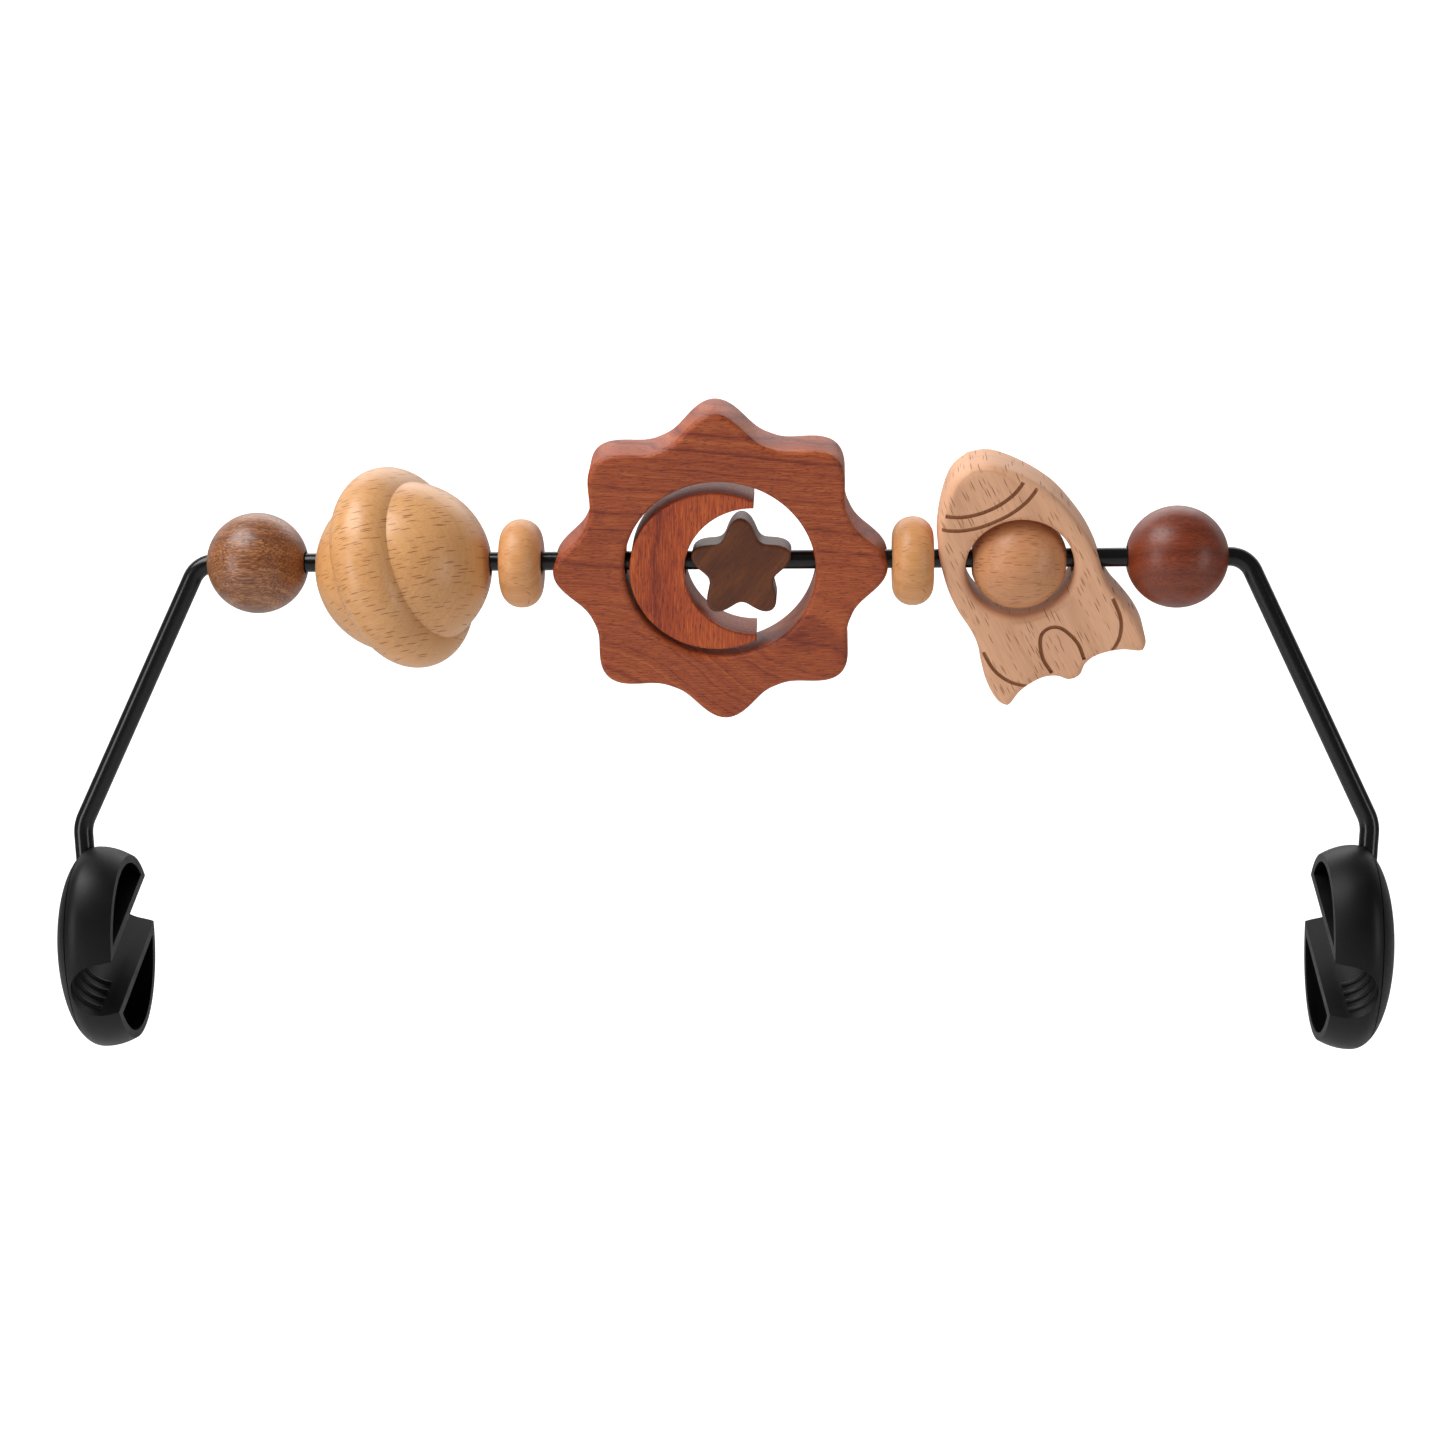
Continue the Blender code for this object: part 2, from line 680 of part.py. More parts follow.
def channel_outline():
    """A U that opens past the inner face."""
    radius = CHANNEL_WIDTH / 2
    mouth = -WIRE_FROM_INNER_FACE - CUT_OVERRUN
    return [(mouth, radius), *floor_arc(radius, math.pi / 2), (mouth, -radius)]


def channel_bar(name, outline):
    """A bar of the given section laid along the channel, past both ends of the clamp."""
    half_length = 2 * CLAMP_HALF_HEIGHT

    def build(cage):
        ring = [cage.verts.new((x, -half_length, z)) for x, z in outline]
        face = cage.faces.new(ring)
        swept = bmesh.ops.extrude_face_region(cage, geom=[face])
        moved = [v for v in swept["geom"] if isinstance(v, bmesh.types.BMVert)]
        bmesh.ops.translate(cage, verts=moved, vec=Y_AXIS * (2 * half_length))

    bar = add_object(name, mesh_from(name, build), cutters)
    bake_place(bar, channel_turn())
    hide_tool(bar)
    return bar


def channel_block():
    """What stays solid round the channel: its two walls, and all that lies behind its floor."""
    half = CHANNEL_WIDTH / 2 + CLAMP_WALL
    near = -WIRE_FROM_INNER_FACE - 2 * CUT_OVERRUN
    far = RIM_WIDTH + DOME_DEPTH
    outline = [(near, half), (far, half), (far, -half), (near, -half)]
    return channel_bar("channel_block", outline)


def grip_rib(name, along):
    """A low half-round rib that follows the channel's floor, as a bent rod part sunk in it."""
    arc = floor_arc(CHANNEL_WIDTH / 2 + RIB_R * RIB_SUNK_SHARE, RIB_HALF_SWEEP)
    rib = tube(name, [(x, along, z) for x, z in arc], RIB_R, SMALL_ROUNDNESS)
    bake_place(rib, channel_turn())
    hide_tool(rib)
    return rib


def make_clamps(material):
    """One moulding: a domed oval, cored out from its inner face round the channel and the socket."""
    clamp = clamp_body("right_clamp", 0, 0, RIM_WIDTH + DOME_DEPTH, DOME_ROWS, toys)
    core = clamp_body("clamp_core", CLAMP_WALL, -CUT_OVERRUN, CORE_DEPTH, CORE_ROWS, cutters)
    tail = [tail_at_height(1, height) - clamp_origin() for height in SOCKET_HEIGHTS]
    boss = rod("socket_boss", BOSS_R, tail[0], tail[2], SOCKET_STEPS)
    boolean(core, channel_block(), "DIFFERENCE")
    boolean(core, boss, "DIFFERENCE")
    core = as_mesh_object(core, cutters)
    hide_tool(core)
    channel = channel_bar("channel", channel_outline())
    socket = rod("socket", WIRE_R + SOCKET_GAP, tail[1], tail[2], SOCKET_STEPS)
    boolean(clamp, core, "DIFFERENCE")
    boolean(clamp, channel, "DIFFERENCE")
    boolean(clamp, socket, "DIFFERENCE")
    for k in range(RIB_COUNT):
        along = FIRST_RIB_FROM_CENTRE - RIB_PITCH * k
        boolean(clamp, grip_rib(f"grip_rib_{k + 1}", along), "UNION")
    right = as_mesh_object(clamp, toys, material)
    left = add_object("left_clamp", right.data.copy(), toys)
    bake_place(left, Matrix.Scale(-1, 4, X_AXIS))
    right.location = clamp_origin()
    left.location = -clamp_origin()
    for clamp in (left, right):
        smooth(clamp)


def places_on_bar():
    """Each toy's place along the bar. What turns inside another toy goes with it."""
    places = {}
    left_end = -ROW_LENGTH / 2
    for name, reach, play in ROW:
        places[name] = left_end + reach
        left_end += 2 * reach + play
    places["moon"] = places["sun"] + MOON_OFF_CENTRE
    places["star"] = places["sun"] + SUN_HOLE_R * STAR_OFF_CENTRE_SHARE
    places["porthole_ball"] = places["rocket"]
    return places


def thread_toys(woods):
    """Makes each wooden piece and threads it on the bar."""
    places = places_on_bar()
    lean = {"sun": SUN_LEAN, "moon": MOON_LEAN, "star": STAR_LEAN, "rocket": ROCKET_LEAN}
    pieces = [
        make_ball("left_ball", BALL_D, woods["walnut"], CLOSE_BORE_R),
        make_planet(woods["beech"]),
        make_ring_bead("left_ring_bead", woods["beech"]),
        make_sun(woods["mahogany"]),
        make_moon(woods["mahogany"]),
        make_star(woods["walnut"]),
        make_ring_bead("right_ring_bead", woods["beech"]),
        make_rocket(woods["steamed_beech"]),
        make_ball("porthole_ball", 2 * (PORTHOLE_R - PORTHOLE_PLAY), woods["beech"]),
        make_ball("right_ball", BALL_D, woods["mahogany"], CLOSE_BORE_R),
    ]
    for piece in pieces:
        hang = 0.0 if piece.name in ("left_ball", "right_ball") else HANG
        on_bar(piece, places[piece.name], hang, leaning(lean.get(piece.name, 0.0)))
        for step in piece.modifiers:
            step.object.matrix_world = piece.matrix_world


clear_scene()
toys = new_collection("bouncer_toy_bar")
cutters = new_collection("cutters")
black = principled("black_polymer", (0.012, 0.012, 0.014), 0.42)
coated = principled("black_coated_steel", (0.008, 0.008, 0.01), 0.25)
thread_toys(
    {
        "walnut": principled("walnut", (0.16, 0.07, 0.035), 0.5),
        "beech": principled("beech", (0.62, 0.38, 0.19), 0.5),
        "steamed_beech": principled("steamed_beech", (0.58, 0.33, 0.2), 0.55),
        "mahogany": principled("mahogany", (0.3, 0.085, 0.035), 0.5),
    }
)
make_wire(coated)
make_clamps(black)
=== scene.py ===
"""A bouncer toy bar: wooden space toys on a black wire arch with a clamp at each end.

Metres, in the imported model's frame: +X along the bar, +Y away from the viewer, +Z up.
"""

import math

import bpy
import numpy as np
from mathutils import Matrix, Vector


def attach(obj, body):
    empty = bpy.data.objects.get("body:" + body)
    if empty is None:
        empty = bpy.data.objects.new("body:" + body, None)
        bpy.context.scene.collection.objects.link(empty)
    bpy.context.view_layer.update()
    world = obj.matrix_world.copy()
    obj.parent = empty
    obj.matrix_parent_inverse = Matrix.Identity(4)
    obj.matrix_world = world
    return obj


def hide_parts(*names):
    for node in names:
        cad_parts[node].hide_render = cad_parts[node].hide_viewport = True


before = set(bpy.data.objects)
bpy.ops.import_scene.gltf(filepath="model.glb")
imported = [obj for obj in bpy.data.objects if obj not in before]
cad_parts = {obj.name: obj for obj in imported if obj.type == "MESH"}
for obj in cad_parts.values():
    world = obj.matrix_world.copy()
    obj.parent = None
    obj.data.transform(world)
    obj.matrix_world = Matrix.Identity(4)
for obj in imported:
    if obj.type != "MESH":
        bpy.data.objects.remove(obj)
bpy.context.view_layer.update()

# The wire arch: one 6 mm steel rod, bent four times and dip-coated in glossy black. Its tails are
# pushed into the clamps, and it carries the whole row of toys.
MM = 0.001
WIRE_R = 3.0
BAR_Z = 123.0
TOP_CORNER_X = 165.53
FOOT_X, FOOT_Z = 204.03, 39.5
WIRE_END_X, WIRE_END_Z = 202.35, 15.85
TOP_BEND_R, FOOT_BEND_R = 8.0, 12.0
WIRE_SIDES = 48
STRAIGHT = Matrix.Identity(3)
SHARP_FROM = math.radians(40)


def linear(hex_colour):
    """sRGB hex to the linear colour that a shader takes: the power curve of 2.4, straight near black."""
    srgb = np.array([int(hex_colour[k : k + 2], 16) / 255 for k in (1, 3, 5)])
    colour = np.where(srgb <= 0.04045, srgb / 12.92, ((srgb + 0.055) / 1.055) ** 2.4)
    return (*colour.tolist(), 1.0)


def add(material, kind, inputs, stops=(), **settings):
    """Adds a node. An input given as a socket is linked to it, and any other is set."""
    node = material.node_tree.nodes.new(kind)
    for name, value in settings.items():
        setattr(node, name, value)
    for key, value in inputs.items():
        if isinstance(value, bpy.types.NodeSocket):
            material.node_tree.links.new(value, node.inputs[key])
        else:
            node.inputs[key].default_value = value
    for k, (place, colour) in enumerate(stops):
        ramp = node.color_ramp.elements
        stop = ramp[k] if k < 2 else ramp.new(place)
        stop.position, stop.color = place, linear(colour)
    return node


def spread(material, value, least, most, to_least, to_most):
    """A value carried from one range to another and held within it."""
    limits = {"From Min": least, "From Max": most, "To Min": to_least, "To Max": to_most}
    return add(material, "ShaderNodeMapRange", {"Value": value, **limits}).outputs["Result"]


def finish(name, plain):
    """A material and its shader, with what is the same all over it set on the shader itself."""
    material = bpy.data.materials.new(name)
    material.use_nodes = True
    shader = material.node_tree.nodes["Principled BSDF"]
    for key, value in plain.items():
        shader.inputs[key].default_value = value
    return material, shader


def wire_up(material, shader, sockets):
    """Links what changes over the surface into the shader."""
    for key, socket in sockets.items():
        material.node_tree.links.new(socket, shader.inputs[key])


def own_space(material, centre, turn=STRAIGHT):
    """The piece's own coordinates in millimetres: moved to its centre, turned back, and scaled up."""
    place = add(material, "ShaderNodeTexCoord", {})
    inputs = {
        "Vector": place.outputs["Object"],
        "Location": [c * MM for c in centre],
        "Rotation": turn.to_euler(),
        "Scale": (MM, MM, MM),
    }
    return add(material, "ShaderNodeMapping", inputs, vector_type="TEXTURE").outputs["Vector"]


def quads(rows, columns, ring=False):
    """The faces of a grid whose columns close on themselves, and with ring its rows too."""
    row, column = np.meshgrid(np.arange(rows - (not ring)), np.arange(columns), indexing="ij")
    ahead, beside = (row + 1) % rows, (column + 1) % columns
    corners = [(row, column), (ahead, column), (ahead, beside), (row, beside)]
    return np.stack([r * columns + c for r, c in corners], -1).reshape(-1, 4).tolist()


def capped(rows, columns):
    """The faces of a grid of rings, closed at both ends by one flat face."""
    last = (rows - 1) * columns
    ends = [list(range(columns)), list(range(last, last + columns))[::-1]]
    return quads(rows, columns) + ends


def mesh_of(name, points, faces, material):
    """A mesh of points in millimetres, of one material and with every face outwards.

    The enclosed volume is a sixth of the sum of a . (b x c) over each face's triangles, and where it
    is negative the faces are all turned round.
    """
    points = np.asarray(points, float).reshape(-1, 3) * MM
    volume = 0.0
    for face in faces:
        ring = points[face]
        volume += (np.cross(ring[1:-1], ring[2:]) @ ring[0]).sum()
    if volume < 0:
        faces = [face[::-1] for face in faces]
    mesh = bpy.data.meshes.new(name)
    mesh.from_pydata(points.tolist(), [], faces)
    mesh.materials.append(material)
    return mesh


def shown(name, mesh, body):
    """A piece in the scene that rides on a body, stands for the node of its name, and is smooth."""
    mesh.shade_smooth()
    mesh.set_sharp_from_angle(angle=SHARP_FROM)
    piece = bpy.data.objects.new(name + "_piece", mesh)
    bpy.context.scene.collection.objects.link(piece)
    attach(piece, body)
    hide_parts(name)
    return piece


def bent_path(corners, radii, steps=24):
    """A line through corners, each rounded by an arc.

    The arc's centre lies on the corner's bisector at radius / cos(half turn), and its points sweep
    the turn evenly.
    """
    corners = np.array(corners, float)
    path = [corners[:1]]
    for before, corner, after, radius in zip(corners, corners[1:], corners[2:], radii):
        into = (corner - before) / np.linalg.norm(corner - before)
        out = (after - corner) / np.linalg.norm(after - corner)
        turn = math.acos(into @ out)
        inward = (out - into) / np.linalg.norm(out - into)
        centre = corner + inward * radius / math.cos(turn / 2)
        start = corner - into * radius * math.tan(turn / 2) - centre
        sweep = np.linspace(0, turn, steps)[:, None]
        path.append(centre + start * np.cos(sweep) + into * radius * np.sin(sweep))
    return np.vstack([*path, corners[-1:]])


def tube(path, radius, sides, across):
    """Rings round a line that stays square to the direction across.

    Each ring is point + r (cos v side + sin v across).
    """
    along = np.gradient(path, axis=0)
    along /= np.linalg.norm(along, axis=1, keepdims=True)
    side = np.cross(across, along)
    v = np.linspace(0, math.tau, sides, endpoint=False)[None, :, None]
    radius = np.broadcast_to(radius, len(path))[:, None, None]
    return path[:, None] + radius * (np.cos(v) * side[:, None] + np.sin(v) * np.array(across, float))


def dipped_black():
    """Black dip coating over steel: hard and glossy, with the slow ripple that a dipped film sets in.

    The ripple's waves are 3.5 mm long. The dust caught in the film is drawn at 0.6 mm, several times
    its real size.
    """
    material, shader = finish("dip_coated_black_steel", {"IOR": 1.5, "Specular IOR Level": 0.35})
    space = own_space(material, (0, 0, 0))
    ripple = add(material, "ShaderNodeTexNoise", {"Vector": space, "Scale": 1 / 3.5, "Detail": 2.0})
    dust = add(material, "ShaderNodeTexNoise", {"Vector": space, "Scale": 1 / 0.6, "Detail": 3.0})
    shade = [(0.35, "#060608"), (0.7, "#0c0c0f")]
    colour = add(material, "ShaderNodeValToRGB", {"Fac": dust.outputs["Fac"]}, shade)
    gloss = spread(material, dust.outputs["Fac"], 0.3, 0.7, 0.16, 0.27)
    relief = {"Height": ripple.outputs["Fac"], "Strength": 0.25, "Distance": 0.1 * MM}
    bump = add(material, "ShaderNodeBump", relief)
    wire_up(
        material,
        shader,
        {
            "Base Color": colour.outputs["Color"],
            "Roughness": gloss,
            "Normal": bump.outputs["Normal"],
        },
    )
    return material


route = bent_path(
    [
        (-WIRE_END_X, 0, WIRE_END_Z),
        (-FOOT_X, 0, FOOT_Z),
        (-TOP_CORNER_X, 0, BAR_Z),
        (TOP_CORNER_X, 0, BAR_Z),
        (FOOT_X, 0, FOOT_Z),
        (WIRE_END_X, 0, WIRE_END_Z),
    ],
    [FOOT_BEND_R, TOP_BEND_R, TOP_BEND_R, FOOT_BEND_R],
)
wire_rings = tube(route, WIRE_R, WIRE_SIDES, (0, 1, 0))
wire_faces = capped(*wire_rings.shape[:2])
shown("wire_arch", mesh_of("wire_arch", wire_rings, wire_faces, dipped_black()), "arch")

# The end balls: 32 mm turned beads, walnut on the left and mahogany on the right, drilled close to
# the wire along the grain and lacquered. Each stops against a bend.
BALL_R = 16.0
CLOSE_BORE_R = 3.5
MOUTH_BREAK, MOUTH_FLAT = 0.4, 0.12
LEFT_BALL_X, RIGHT_BALL_X = -146.5, 144.1


def turned(profile, steps):
    """A profile of (along, radius) spun about X: (along, r sin v, r cos v)."""
    v = np.linspace(0, math.tau, steps, endpoint=False)
    along, r = np.array(profile, float).T[..., None]
    return np.stack(np.broadcast_arrays(along, r * np.sin(v), r * np.cos(v)), -1)


def drilled(skin, bore_r):
    """A turned outline closed through its bore, with the edge broken at each mouth."""
    (left, _), (right, _) = skin[0], skin[-1]
    right_rim = [(right - MOUTH_FLAT, bore_r + MOUTH_FLAT), (right - MOUTH_BREAK, bore_r)]
    left_rim = [(left + MOUTH_BREAK, bore_r), (left + MOUTH_FLAT, bore_r + MOUTH_FLAT)]
    return np.vstack([skin, right_rim, left_rim])


def half_circle(radius, bore_r, rows=64):
    """The outline of a ball from one bore mouth to the other: (-r cos t, r sin t)."""
    start = math.asin((bore_r + MOUTH_BREAK) / radius)
    t = np.linspace(start, math.pi - start, rows)
    return np.stack([-radius * np.cos(t), radius * np.sin(t)], 1)


def placed(points, x, z, turn=STRAIGHT):
    """Points turned about a piece's own origin and moved to its place on the bar."""
    return np.asarray(points).reshape(-1, 3) @ np.array(turn).T + (x, 0, z)


BROAD_SHARE = 0.3
WAVE_SIZE, BROAD_SIZE = (45, 14, 14), (60, 25, 25)
PORE_RELIEF, FIBRE_RELIEF = -0.8, 0.5
ACROSS_THE_HEART = Matrix.Rotation(math.radians(70), 3, "X")


def wood(name, place, grain, tones, pore, rings, fibre, pores, gloss, field=None):
    """Oiled wood cut from the solid, so that every face shows the same rings, fibres and pores.

    place is (x, z, turn) of the piece, and grain turns its own axes so that x runs along the grain
    and y away from the tree's heart. rings is (distance of the heart, ring width, waviness, share,
    latewood share), fibre (length, width, share) and pores (length, depth, width, size, part that
    shows, strength), in millimetres. A share is how far that pattern moves the colour between the
    three tones. gloss is (least and most roughness, weight of the lacquer). field takes the place of
    the distance from the heart.
    """
    x, z, turn = place
    material, shader = finish(name, {"IOR": 1.5, "Coat Weight": gloss[2], "Coat Roughness": 0.28})
    shader.inputs["Specular IOR Level"].default_value = 0.35
    space = own_space(material, (x, 0, z), turn @ grain)

    def maths(operation, *values):
        return add(material, "ShaderNodeMath", dict(enumerate(values)), operation=operation).outputs[0]

    def stretched(length, depth, width):
        scale = {"Vector": space, "Scale": (1 / length, 1 / depth, 1 / width)}
        return add(material, "ShaderNodeMapping", scale).outputs["Vector"]

    def cloud(length, depth, width, detail):
        inputs = {"Vector": stretched(length, depth, width), "Scale": 1.0, "Detail": detail}
        return add(material, "ShaderNodeTexNoise", {**inputs, "Roughness": 0.6}).outputs["Fac"]

    heart, ring_width, waviness, ring_share, late_share = rings
    if field is None:
        section = {"Vector": space, "Location": (0, heart, 0), "Scale": (0, 1, 1)}
        section = add(material, "ShaderNodeMapping", section).outputs["Vector"]
        from_heart = add(material, "ShaderNodeVectorMath", {0: section}, operation="LENGTH").outputs["Value"]
    else:
        from_heart = field(material, maths)
    ring_at = maths("MULTIPLY_ADD", cloud(*WAVE_SIZE, 3.0), waviness, from_heart)
    ring_at = maths("DIVIDE", ring_at, ring_width)
    ring_inputs = {"W": ring_at, "Scale": 1.0, "Detail": 3.0, "Roughness": 0.6}
    ring = add(material, "ShaderNodeTexNoise", ring_inputs, noise_dimensions="1D").outputs["Fac"]
    late = maths("POWER", maths("MULTIPLY", maths("PINGPONG", ring_at, 0.5), 2.0), 7.0)
    late = maths("MULTIPLY", late, maths("SUBTRACT", 1.2, ring))
    fibre_length, fibre_width, fibre_share = fibre
    hair = cloud(fibre_length, fibre_width, fibre_width, 4.0)
    tone = maths("MULTIPLY_ADD", maths("SUBTRACT", ring, 0.5), ring_share, 0.5)
    tone = maths("MULTIPLY_ADD", late, -late_share, tone)
    tone = maths("MULTIPLY_ADD", maths("SUBTRACT", hair, 0.5), fibre_share, tone)
    tone = maths("MULTIPLY_ADD", maths("SUBTRACT", cloud(*BROAD_SIZE, 2.0), 0.5), BROAD_SHARE, tone)
    ramp = [(0.15, tones[0]), (0.5, tones[1]), (0.85, tones[2])]
    colour = add(material, "ShaderNodeValToRGB", {"Fac": tone}, ramp).outputs["Color"]
    pore_length, pore_depth, pore_width, pore_size, pore_part, pore_strength = pores
    cell = {"Vector": stretched(pore_length, pore_depth, pore_width), "Scale": 1.0}
    cell = add(material, "ShaderNodeTexVoronoi", cell).outputs
    in_pore = spread(material, cell["Distance"], pore_size * 0.6, pore_size, 1.0, 0.0)
    chance = add(material, "ShaderNodeSeparateColor", {"Color": cell["Color"]}).outputs["Red"]
    kept = spread(material, chance, 1.0 - pore_part, 1.25 - pore_part, 0.0, 1.0)
    in_pore = maths("MULTIPLY", in_pore, kept)
    stain = {0: maths("MULTIPLY", in_pore, pore_strength), 6: colour, 7: linear(pore)}
    stained = add(material, "ShaderNodeMix", stain, data_type="RGBA").outputs[2]
    height = maths("MULTIPLY_ADD", in_pore, PORE_RELIEF, maths("MULTIPLY", hair, FIBRE_RELIEF))
    bump = add(material, "ShaderNodeBump", {"Height": height, "Strength": 0.5, "Distance": 0.12 * MM})
    wire_up(
        material,
        shader,
        {
            "Base Color": stained,
            "Roughness": spread(material, hair, 0.3, 0.7, gloss[0], gloss[1]),
            "Normal": bump.outputs["Normal"],
        },
    )
    return material


def bead(name, outline, bore_r, x, z, material, steps=96):
    """A turned bead with its bore along the bar."""
    profile = drilled(outline, bore_r)
    points = placed(turned(profile, steps), x, z)
    shown(name, mesh_of(name, points, quads(len(profile), steps, ring=True), material), name)


# Walnut: brown, with open pores that show as dark dashes on the side and dots on the ends.
lacquered_walnut = wood(
    "lacquered_walnut",
    (LEFT_BALL_X, BAR_Z, STRAIGHT),
    ACROSS_THE_HEART,
    ("#4c2610", "#824c28", "#bd8757"),
    "#3f1e0e",
    (70, 3.4, 5.0, 0.55, 0.12),
    (4, 0.4, 1.5),
    (3.0, 1.0, 0.5, 0.34, 0.9, 0.8),
    (0.36, 0.5, 0.45),
)
bead("left_ball", half_circle(BALL_R, CLOSE_BORE_R), CLOSE_BORE_R, LEFT_BALL_X, BAR_Z, lacquered_walnut)

# Mahogany: deep red-brown, with fine even pores and a thinner lacquer.
lacquered_mahogany = wood(
    "lacquered_mahogany",
    (RIGHT_BALL_X, BAR_Z, STRAIGHT),
    ACROSS_THE_HEART,
    ("#4a1606", "#712d13", "#964a25"),
    "#3a1208",
    (50, 3.4, 3.0, 0.3, 0.1),
    (4, 0.4, 0.8),
    (2.4, 0.8, 0.45, 0.32, 0.85, 0.65),
    (0.38, 0.48, 0.2),
)
bead("right_ball", half_circle(BALL_R, CLOSE_BORE_R), CLOSE_BORE_R, RIGHT_BALL_X, BAR_Z, lacquered_mahogany)

# The planet: a ball with a fat ring turned from one block of beech, then drilled aslant to its own
# axis, so that it wobbles as it turns. It hangs loose on the bar.
HANG_Z = 122.3
BORE_R = 4.0
PLANET_X = -99.6
PLANET_R, PLANET_HALF_WAIST = 26.9, 1.2
PLANET_RING_R, PLANET_RING_ROUND = 32.5, 11.0
PLANET_DROP = 1.0
PLANET_TURN = Matrix.Rotation(math.radians(-21), 3, "Z") @ Matrix.Rotation(math.radians(-13), 3, "Y")


def planet_profile():
    """Two half circles a waist apart and a ring between them: at each place, whichever stands higher."""
    x = np.linspace(0, PLANET_HALF_WAIST + PLANET_R, 6001)
    ball = np.sqrt(np.maximum(PLANET_R**2 - np.maximum(x - PLANET_HALF_WAIST, 0) ** 2, 0))
    ring = PLANET_RING_R - PLANET_RING_ROUND + np.sqrt(np.maximum(PLANET_RING_ROUND**2 - x**2, 0))
    groove = x[np.argmax((x > 1) & (ring < ball))]
    u = np.linspace(math.pi / 2, math.acos(groove / PLANET_RING_ROUND), 24)[:-1]
    round_z = PLANET_RING_R - PLANET_RING_ROUND + PLANET_RING_ROUND * np.sin(u)
    t = np.linspace(math.acos((groove - PLANET_HALF_WAIST) / PLANET_R), 0.01, 48)
    cap = np.stack([PLANET_HALF_WAIST + PLANET_R * np.cos(t), PLANET_R * np.sin(t)], 1)
    half = np.vstack([np.stack([PLANET_RING_ROUND * np.cos(u), round_z], 1), cap])
    return np.vstack([half[:0:-1] * (-1, 1), half])


def carved(body, tools, joins=()):
    """The mesh with every tool's mesh cut out of it, and then every join's mesh made one with it."""
    work = bpy.data.objects.new("work", body)
    made = [work]
    bpy.context.scene.collection.objects.link(work)
    steps = [(mesh, "DIFFERENCE") for mesh in tools] + [(mesh, "UNION") for mesh in joins]
    for mesh, operation in steps:
        tool = bpy.data.objects.new("tool", mesh)
        bpy.context.scene.collection.objects.link(tool)
        step = work.modifiers.new("carve", "BOOLEAN")
        step.operation, step.solver, step.object = operation, "EXACT", tool
        step.material_mode = "TRANSFER"
        made.append(tool)
    bpy.context.view_layer.update()
    finished = work.evaluated_get(bpy.context.evaluated_depsgraph_get())
    done = bpy.data.meshes.new_from_object(finished)
    for thing in made:
        bpy.data.objects.remove(thing, do_unlink=True)
    return done


def rod(start, end, radius, material):
    """A round rod from one point to another, with as many sides as the wire has."""
    rings = tube(np.array([start, end], float), radius, WIRE_SIDES, (0, 1, 0))
    return mesh_of("rod", rings, capped(2, WIRE_SIDES), material)


def drill(x, half_length, material):
    """A rod laid along the bar, as wide as the toys' loose bores."""
    return rod((x - half_length, 0, HANG_Z), (x + half_length, 0, HANG_Z), BORE_R, material)


def woodwork(name, points, faces, material, tools):
    """A solid of wood with its holes cut, shown in place of the node of its name."""
    shown(name, carved(mesh_of(name, points, faces, material), tools), name)


# Beech: pale tan and close-grained, with the short dark ray flecks that tell it from other woods.
# Each fleck is a ribbon that runs out from the tree's heart, so it is a dash on the sides and a long
# hair on the ends. It is drawn 0.4 mm thick, twice the real width, or it would not show.
beech_planet = wood(
    "oiled_beech_planet",
    (PLANET_X, HANG_Z, PLANET_TURN),
    STRAIGHT,
    ("#ab7240", "#cd955e", "#e0b27e"),
    "#8c5426",
    (90, 1.6, 2.5, 0.18, 0.04),
    (10, 0.5, 0.5),
    (6.5, 9.0, 0.57, 0.3, 0.95, 0.9),
    (0.36, 0.5, 0.4),
)
planet_rings = turned(planet_profile(), 144)
planet_points = placed(planet_rings, PLANET_X, HANG_Z - PLANET_DROP, PLANET_TURN)
planet_faces = capped(*planet_rings.shape[:2])
woodwork("planet", planet_points, planet_faces, beech_planet, [drill(PLANET_X, 40, beech_planet)])

# The two plain ring beads: short beech rounds with fully rounded rims, drilled loose. They keep the
# sun clear of the planet and of the rocket.
RING_R, RING_HALF, RING_EDGE = 14.0, 6.5, 6.2
LEFT_RING_X, RIGHT_RING_X = -62.0, 61.6
u = np.linspace(0, math.pi / 2, 16)
rim_x, rim_r = RING_EDGE - RING_HALF - RING_EDGE * np.cos(u), RING_R - RING_EDGE + RING_EDGE * np.sin(u)
face_r = np.linspace(BORE_R + MOUTH_BREAK, RING_R - RING_EDGE - 0.3, 4)
half_rim = np.vstack([np.stack([np.full(4, -RING_HALF), face_r], 1), np.stack([rim_x, rim_r], 1)])
ring_outline = np.vstack([half_rim, half_rim[::-1] * (-1, 1)])
# Beech as in the planet, a little redder and with shorter flecks, each bead cut at its own place.
for name, x in (("left_ring_bead", LEFT_RING_X), ("right_ring_bead", RIGHT_RING_X)):
    beech_bead = wood(
        "oiled_beech_" + name,
        (x, HANG_Z, STRAIGHT),
        Matrix.Rotation(math.radians(-28), 3, "X"),
        ("#a86b3b", "#c98d58", "#dcaa78"),
        "#8a5426",
        (40, 2.6, 2.0, 0.25, 0.06),
        (10, 0.5, 0.5),
        (5.0, 8.0, 0.55, 0.28, 0.8, 0.6),
        (0.4, 0.52, 0.2),
    )
    bead(name, ring_outline, BORE_R, x, HANG_Z, beech_bead)

